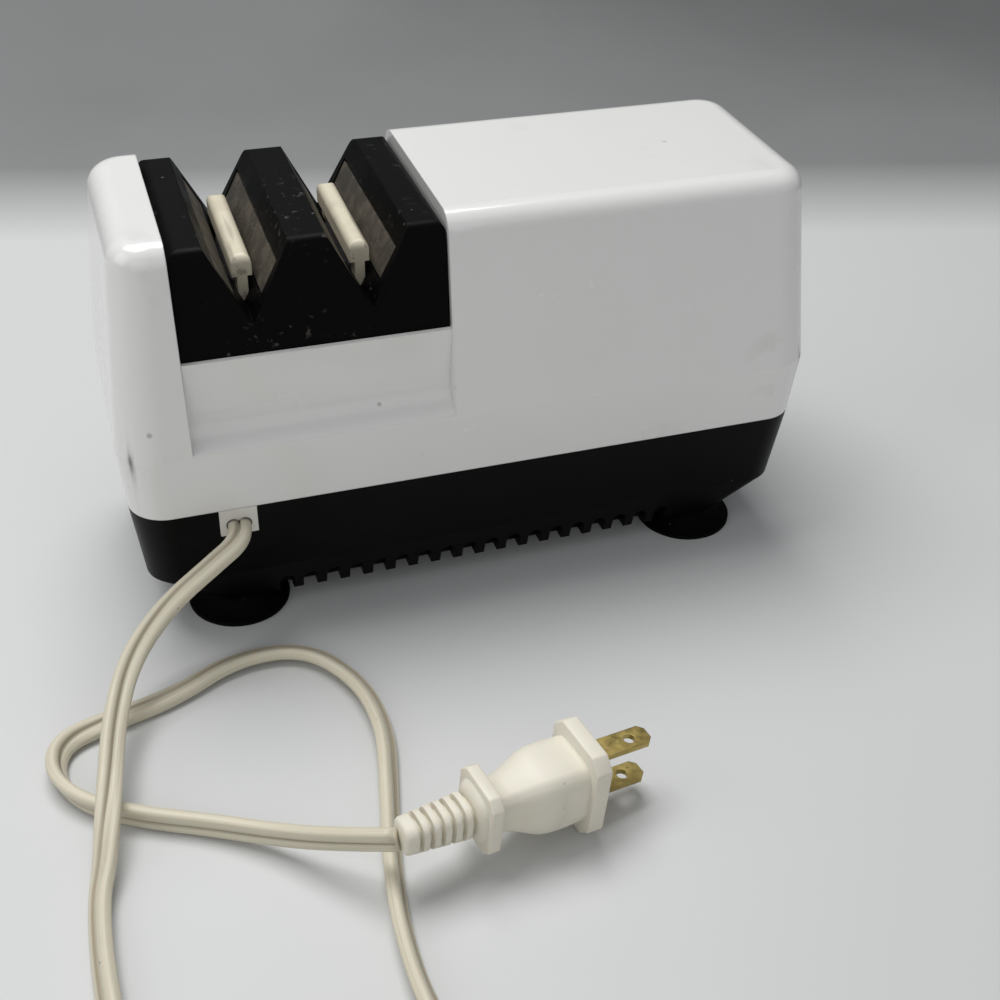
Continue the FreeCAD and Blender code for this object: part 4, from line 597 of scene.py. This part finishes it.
def ringSpot(angle, section):
    # a point of one ring: a rounded square, with a groove cut in between its webs and a raised seam
    place, halfWidth, halfHeight, squareness, depth, webs = section
    turned = math.degrees(angle) % 360
    onWeb = any(abs((turned - web + 180) % 360 - 180) < plug["webReach"] for web in webs)
    inwards = 0 if onWeb else depth
    step = 360 / plug["segments"]
    if place > plug["grip"][0][0] and abs(turned - plug["seamAngle"]) < step / 2:
        inwards -= plug["seamRise"]
    power = 2 / squareness
    across, rise = math.cos(angle), math.sin(angle)
    return Vector((place, math.copysign(abs(across) ** power, across) * (halfWidth - inwards),
                   math.copysign(abs(rise) ** power, rise) * (halfHeight - inwards)))


def addPlate(mesh, size, place, chamfer):
    # an angular plate across the plug, with cut corners and softened edges
    made = bmesh.ops.create_cube(mesh, size=1)["verts"]
    bmesh.ops.scale(mesh, vec=size, verts=made)
    bmesh.ops.translate(mesh, vec=(place, 0, 0), verts=made)
    corners = [edge for edge in mesh.edges if edge.verts[0] in made
               and abs(edge.verts[0].co.x - edge.verts[1].co.x) > size[0] / 2]
    cut = bmesh.ops.bevel(mesh, geom=corners, offset=chamfer, offset_type="OFFSET", segments=1, profile=0.5,
                          affect="EDGES", material=-1)
    plate = {v for f in cut["faces"] for v in f.verts}
    rims = [edge for edge in mesh.edges if edge.verts[0] in plate or edge.verts[1] in plate]
    bmesh.ops.bevel(mesh, geom=rims, offset=plug["edgeRound"], offset_type="OFFSET", segments=3, profile=0.5,
                    affect="EDGES", material=-1)


def makePlug():
    mesh = bmesh.new()
    ring = bmesh.ops.create_circle(mesh, cap_ends=False, segments=plug["segments"], radius=1)["verts"]
    angles = [math.atan2(vert.co.y, vert.co.x) for vert in ring]
    for index, section in enumerate(plugSections()):
        if index:
            edges = [e for e in mesh.edges if e.verts[0] in ring and e.verts[1] in ring]
            risen = bmesh.ops.extrude_edge_only(mesh, edges=edges)["geom"]
            fresh = [item for item in risen if isinstance(item, bmesh.types.BMVert)]
            order = {}
            for vert in fresh:
                order[[e.other_vert(vert) for e in vert.link_edges if e.other_vert(vert) in ring][0]] = vert
            ring = [order[vert] for vert in ring]
        for vert, angle in zip(ring, angles):
            vert.co = ringSpot(angle, section)
    bmesh.ops.holes_fill(mesh, edges=[e for e in mesh.edges if e.is_boundary], sides=0)
    low, high = plug["panel"]
    for side in (-1, 1):
        panel = [f for f in mesh.faces if low < f.calc_center_median().x < high
                 and f.calc_center_median().y * side > 0.0078 and abs(f.calc_center_median().z) < 0.0062]
        bmesh.ops.inset_region(mesh, faces=panel, thickness=plug["panelRim"], depth=-plug["panelDepth"])
    addPlate(mesh, plug["flangeSize"], -plug["flangeSize"][0] / 2, plug["flangeChamfer"])
    addPlate(mesh, plug["collarSize"], plug["collarPlace"], plug["collarChamfer"])
    bmesh.ops.recalc_face_normals(mesh, faces=mesh.faces)
    turn = (Matrix.Translation(plug["origin"]) @ Matrix.Rotation(math.radians(plug["heading"]), 4, "Z")
            @ Matrix.Rotation(math.radians(plug["dip"]), 4, "Y"))
    bmesh.ops.transform(mesh, matrix=turn, verts=mesh.verts)
    piece = finishPiece("plugMoulding", mesh, plugFinish)
    piece.data.set_sharp_from_angle(angle=math.radians(38))
    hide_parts("plug_body")
    print("plug moulded")


makePlug()
makeLead()


studio = {
    "floorColour": (0.62, 0.625, 0.62),
    "edgeShadeColour": (0.205, 0.21, 0.21),
    "backShadeColour": (0.128, 0.132, 0.132),
    "bendStart": 0.30,
    "bendRadius": 0.55,
    "worldColour": (0.80, 0.82, 0.85),
    "worldStrength": 0.37,
    "overheadPower": 11.4,
    "windowPower": 2.5,
    "fillPower": 2.5,
}


def makeStage():
    mesh = bmesh.new()
    bmesh.ops.create_grid(mesh, x_segments=2, y_segments=2, size=0.5)
    bmesh.ops.scale(mesh, vec=(5, 2.6, 1), verts=mesh.verts)
    bmesh.ops.translate(mesh, vec=(0, studio["bendStart"] - 1.3, 0), verts=mesh.verts)
    edge = [e for e in mesh.edges if all(v.co.y > studio["bendStart"] - 0.001 for v in e.verts)]
    bent = bmesh.ops.spin(mesh, geom=edge, cent=(0, studio["bendStart"], studio["bendRadius"]), axis=(1, 0, 0),
                          angle=math.radians(90), steps=24, use_merge=False)
    last = [item for item in bent["geom_last"] if isinstance(item, bmesh.types.BMEdge)]
    risen = bmesh.ops.extrude_edge_only(mesh, edges=last)["geom"]
    bmesh.ops.translate(mesh, vec=(0, 0, 1.5), verts=[item for item in risen if isinstance(item, bmesh.types.BMVert)])
    r = Recipe("floorPaper", studio["floorColour"], 0.5, edge=0)
    depth = r.add("ShaderNodeSeparateXYZ")
    r.link(r.place, depth.inputs["Vector"])
    away = r.math("ADD", depth.outputs["Y"], r.times(depth.outputs["X"], 0.24))
    # painted shade: the paper darkens in two steps towards the back and up the sweep, standing in for the light
    # falling off
    r.paint(r.clamped(away, 0.205, 0.285), studio["edgeShadeColour"])
    r.paint(r.clamped(away, 0.285, 0.5), studio["backShadeColour"])
    r.paint(r.noise(3, 0.3, 0.8), (0.58, 0.58, 0.58), 0.15)
    stage = finishPiece("floorSweep", mesh, r.material, body=None)


def addArea(name, place, aim, power, size, colour=(1, 1, 1)):
    data = bpy.data.lights.new(name, "AREA")
    data.energy = power
    data.shape = "RECTANGLE"
    data.size, data.size_y = size
    data.color = colour
    lamp = bpy.data.objects.new(name, data)
    scene.collection.objects.link(lamp)
    lamp.location = place
    lamp.rotation_euler = (Vector(aim) - Vector(place)).to_track_quat("-Z", "Y").to_euler()


def lightStage():
    world = bpy.data.worlds.new("softRoom")
    scene.world = world
    world.use_nodes = True
    sky = world.node_tree.nodes["Background"]
    sky.inputs["Color"].default_value = (*studio["worldColour"], 1)
    sky.inputs["Strength"].default_value = studio["worldStrength"]
    addArea("overhead", (-0.15, 0.35, 1.1), (0, 0, 0.05), studio["overheadPower"], (0.9, 0.6))
    addArea("leftWindow", (-1.2, -0.1, 0.7), (0, 0, 0.06), studio["windowPower"], (0.8, 0.8))
    addArea("frontFill", (-0.35, -1.2, 0.55), (0, 0, 0.05), studio["fillPower"], (1.6, 0.9))  # softens the shade


makeStage()
lightStage()
print("stage and light set")
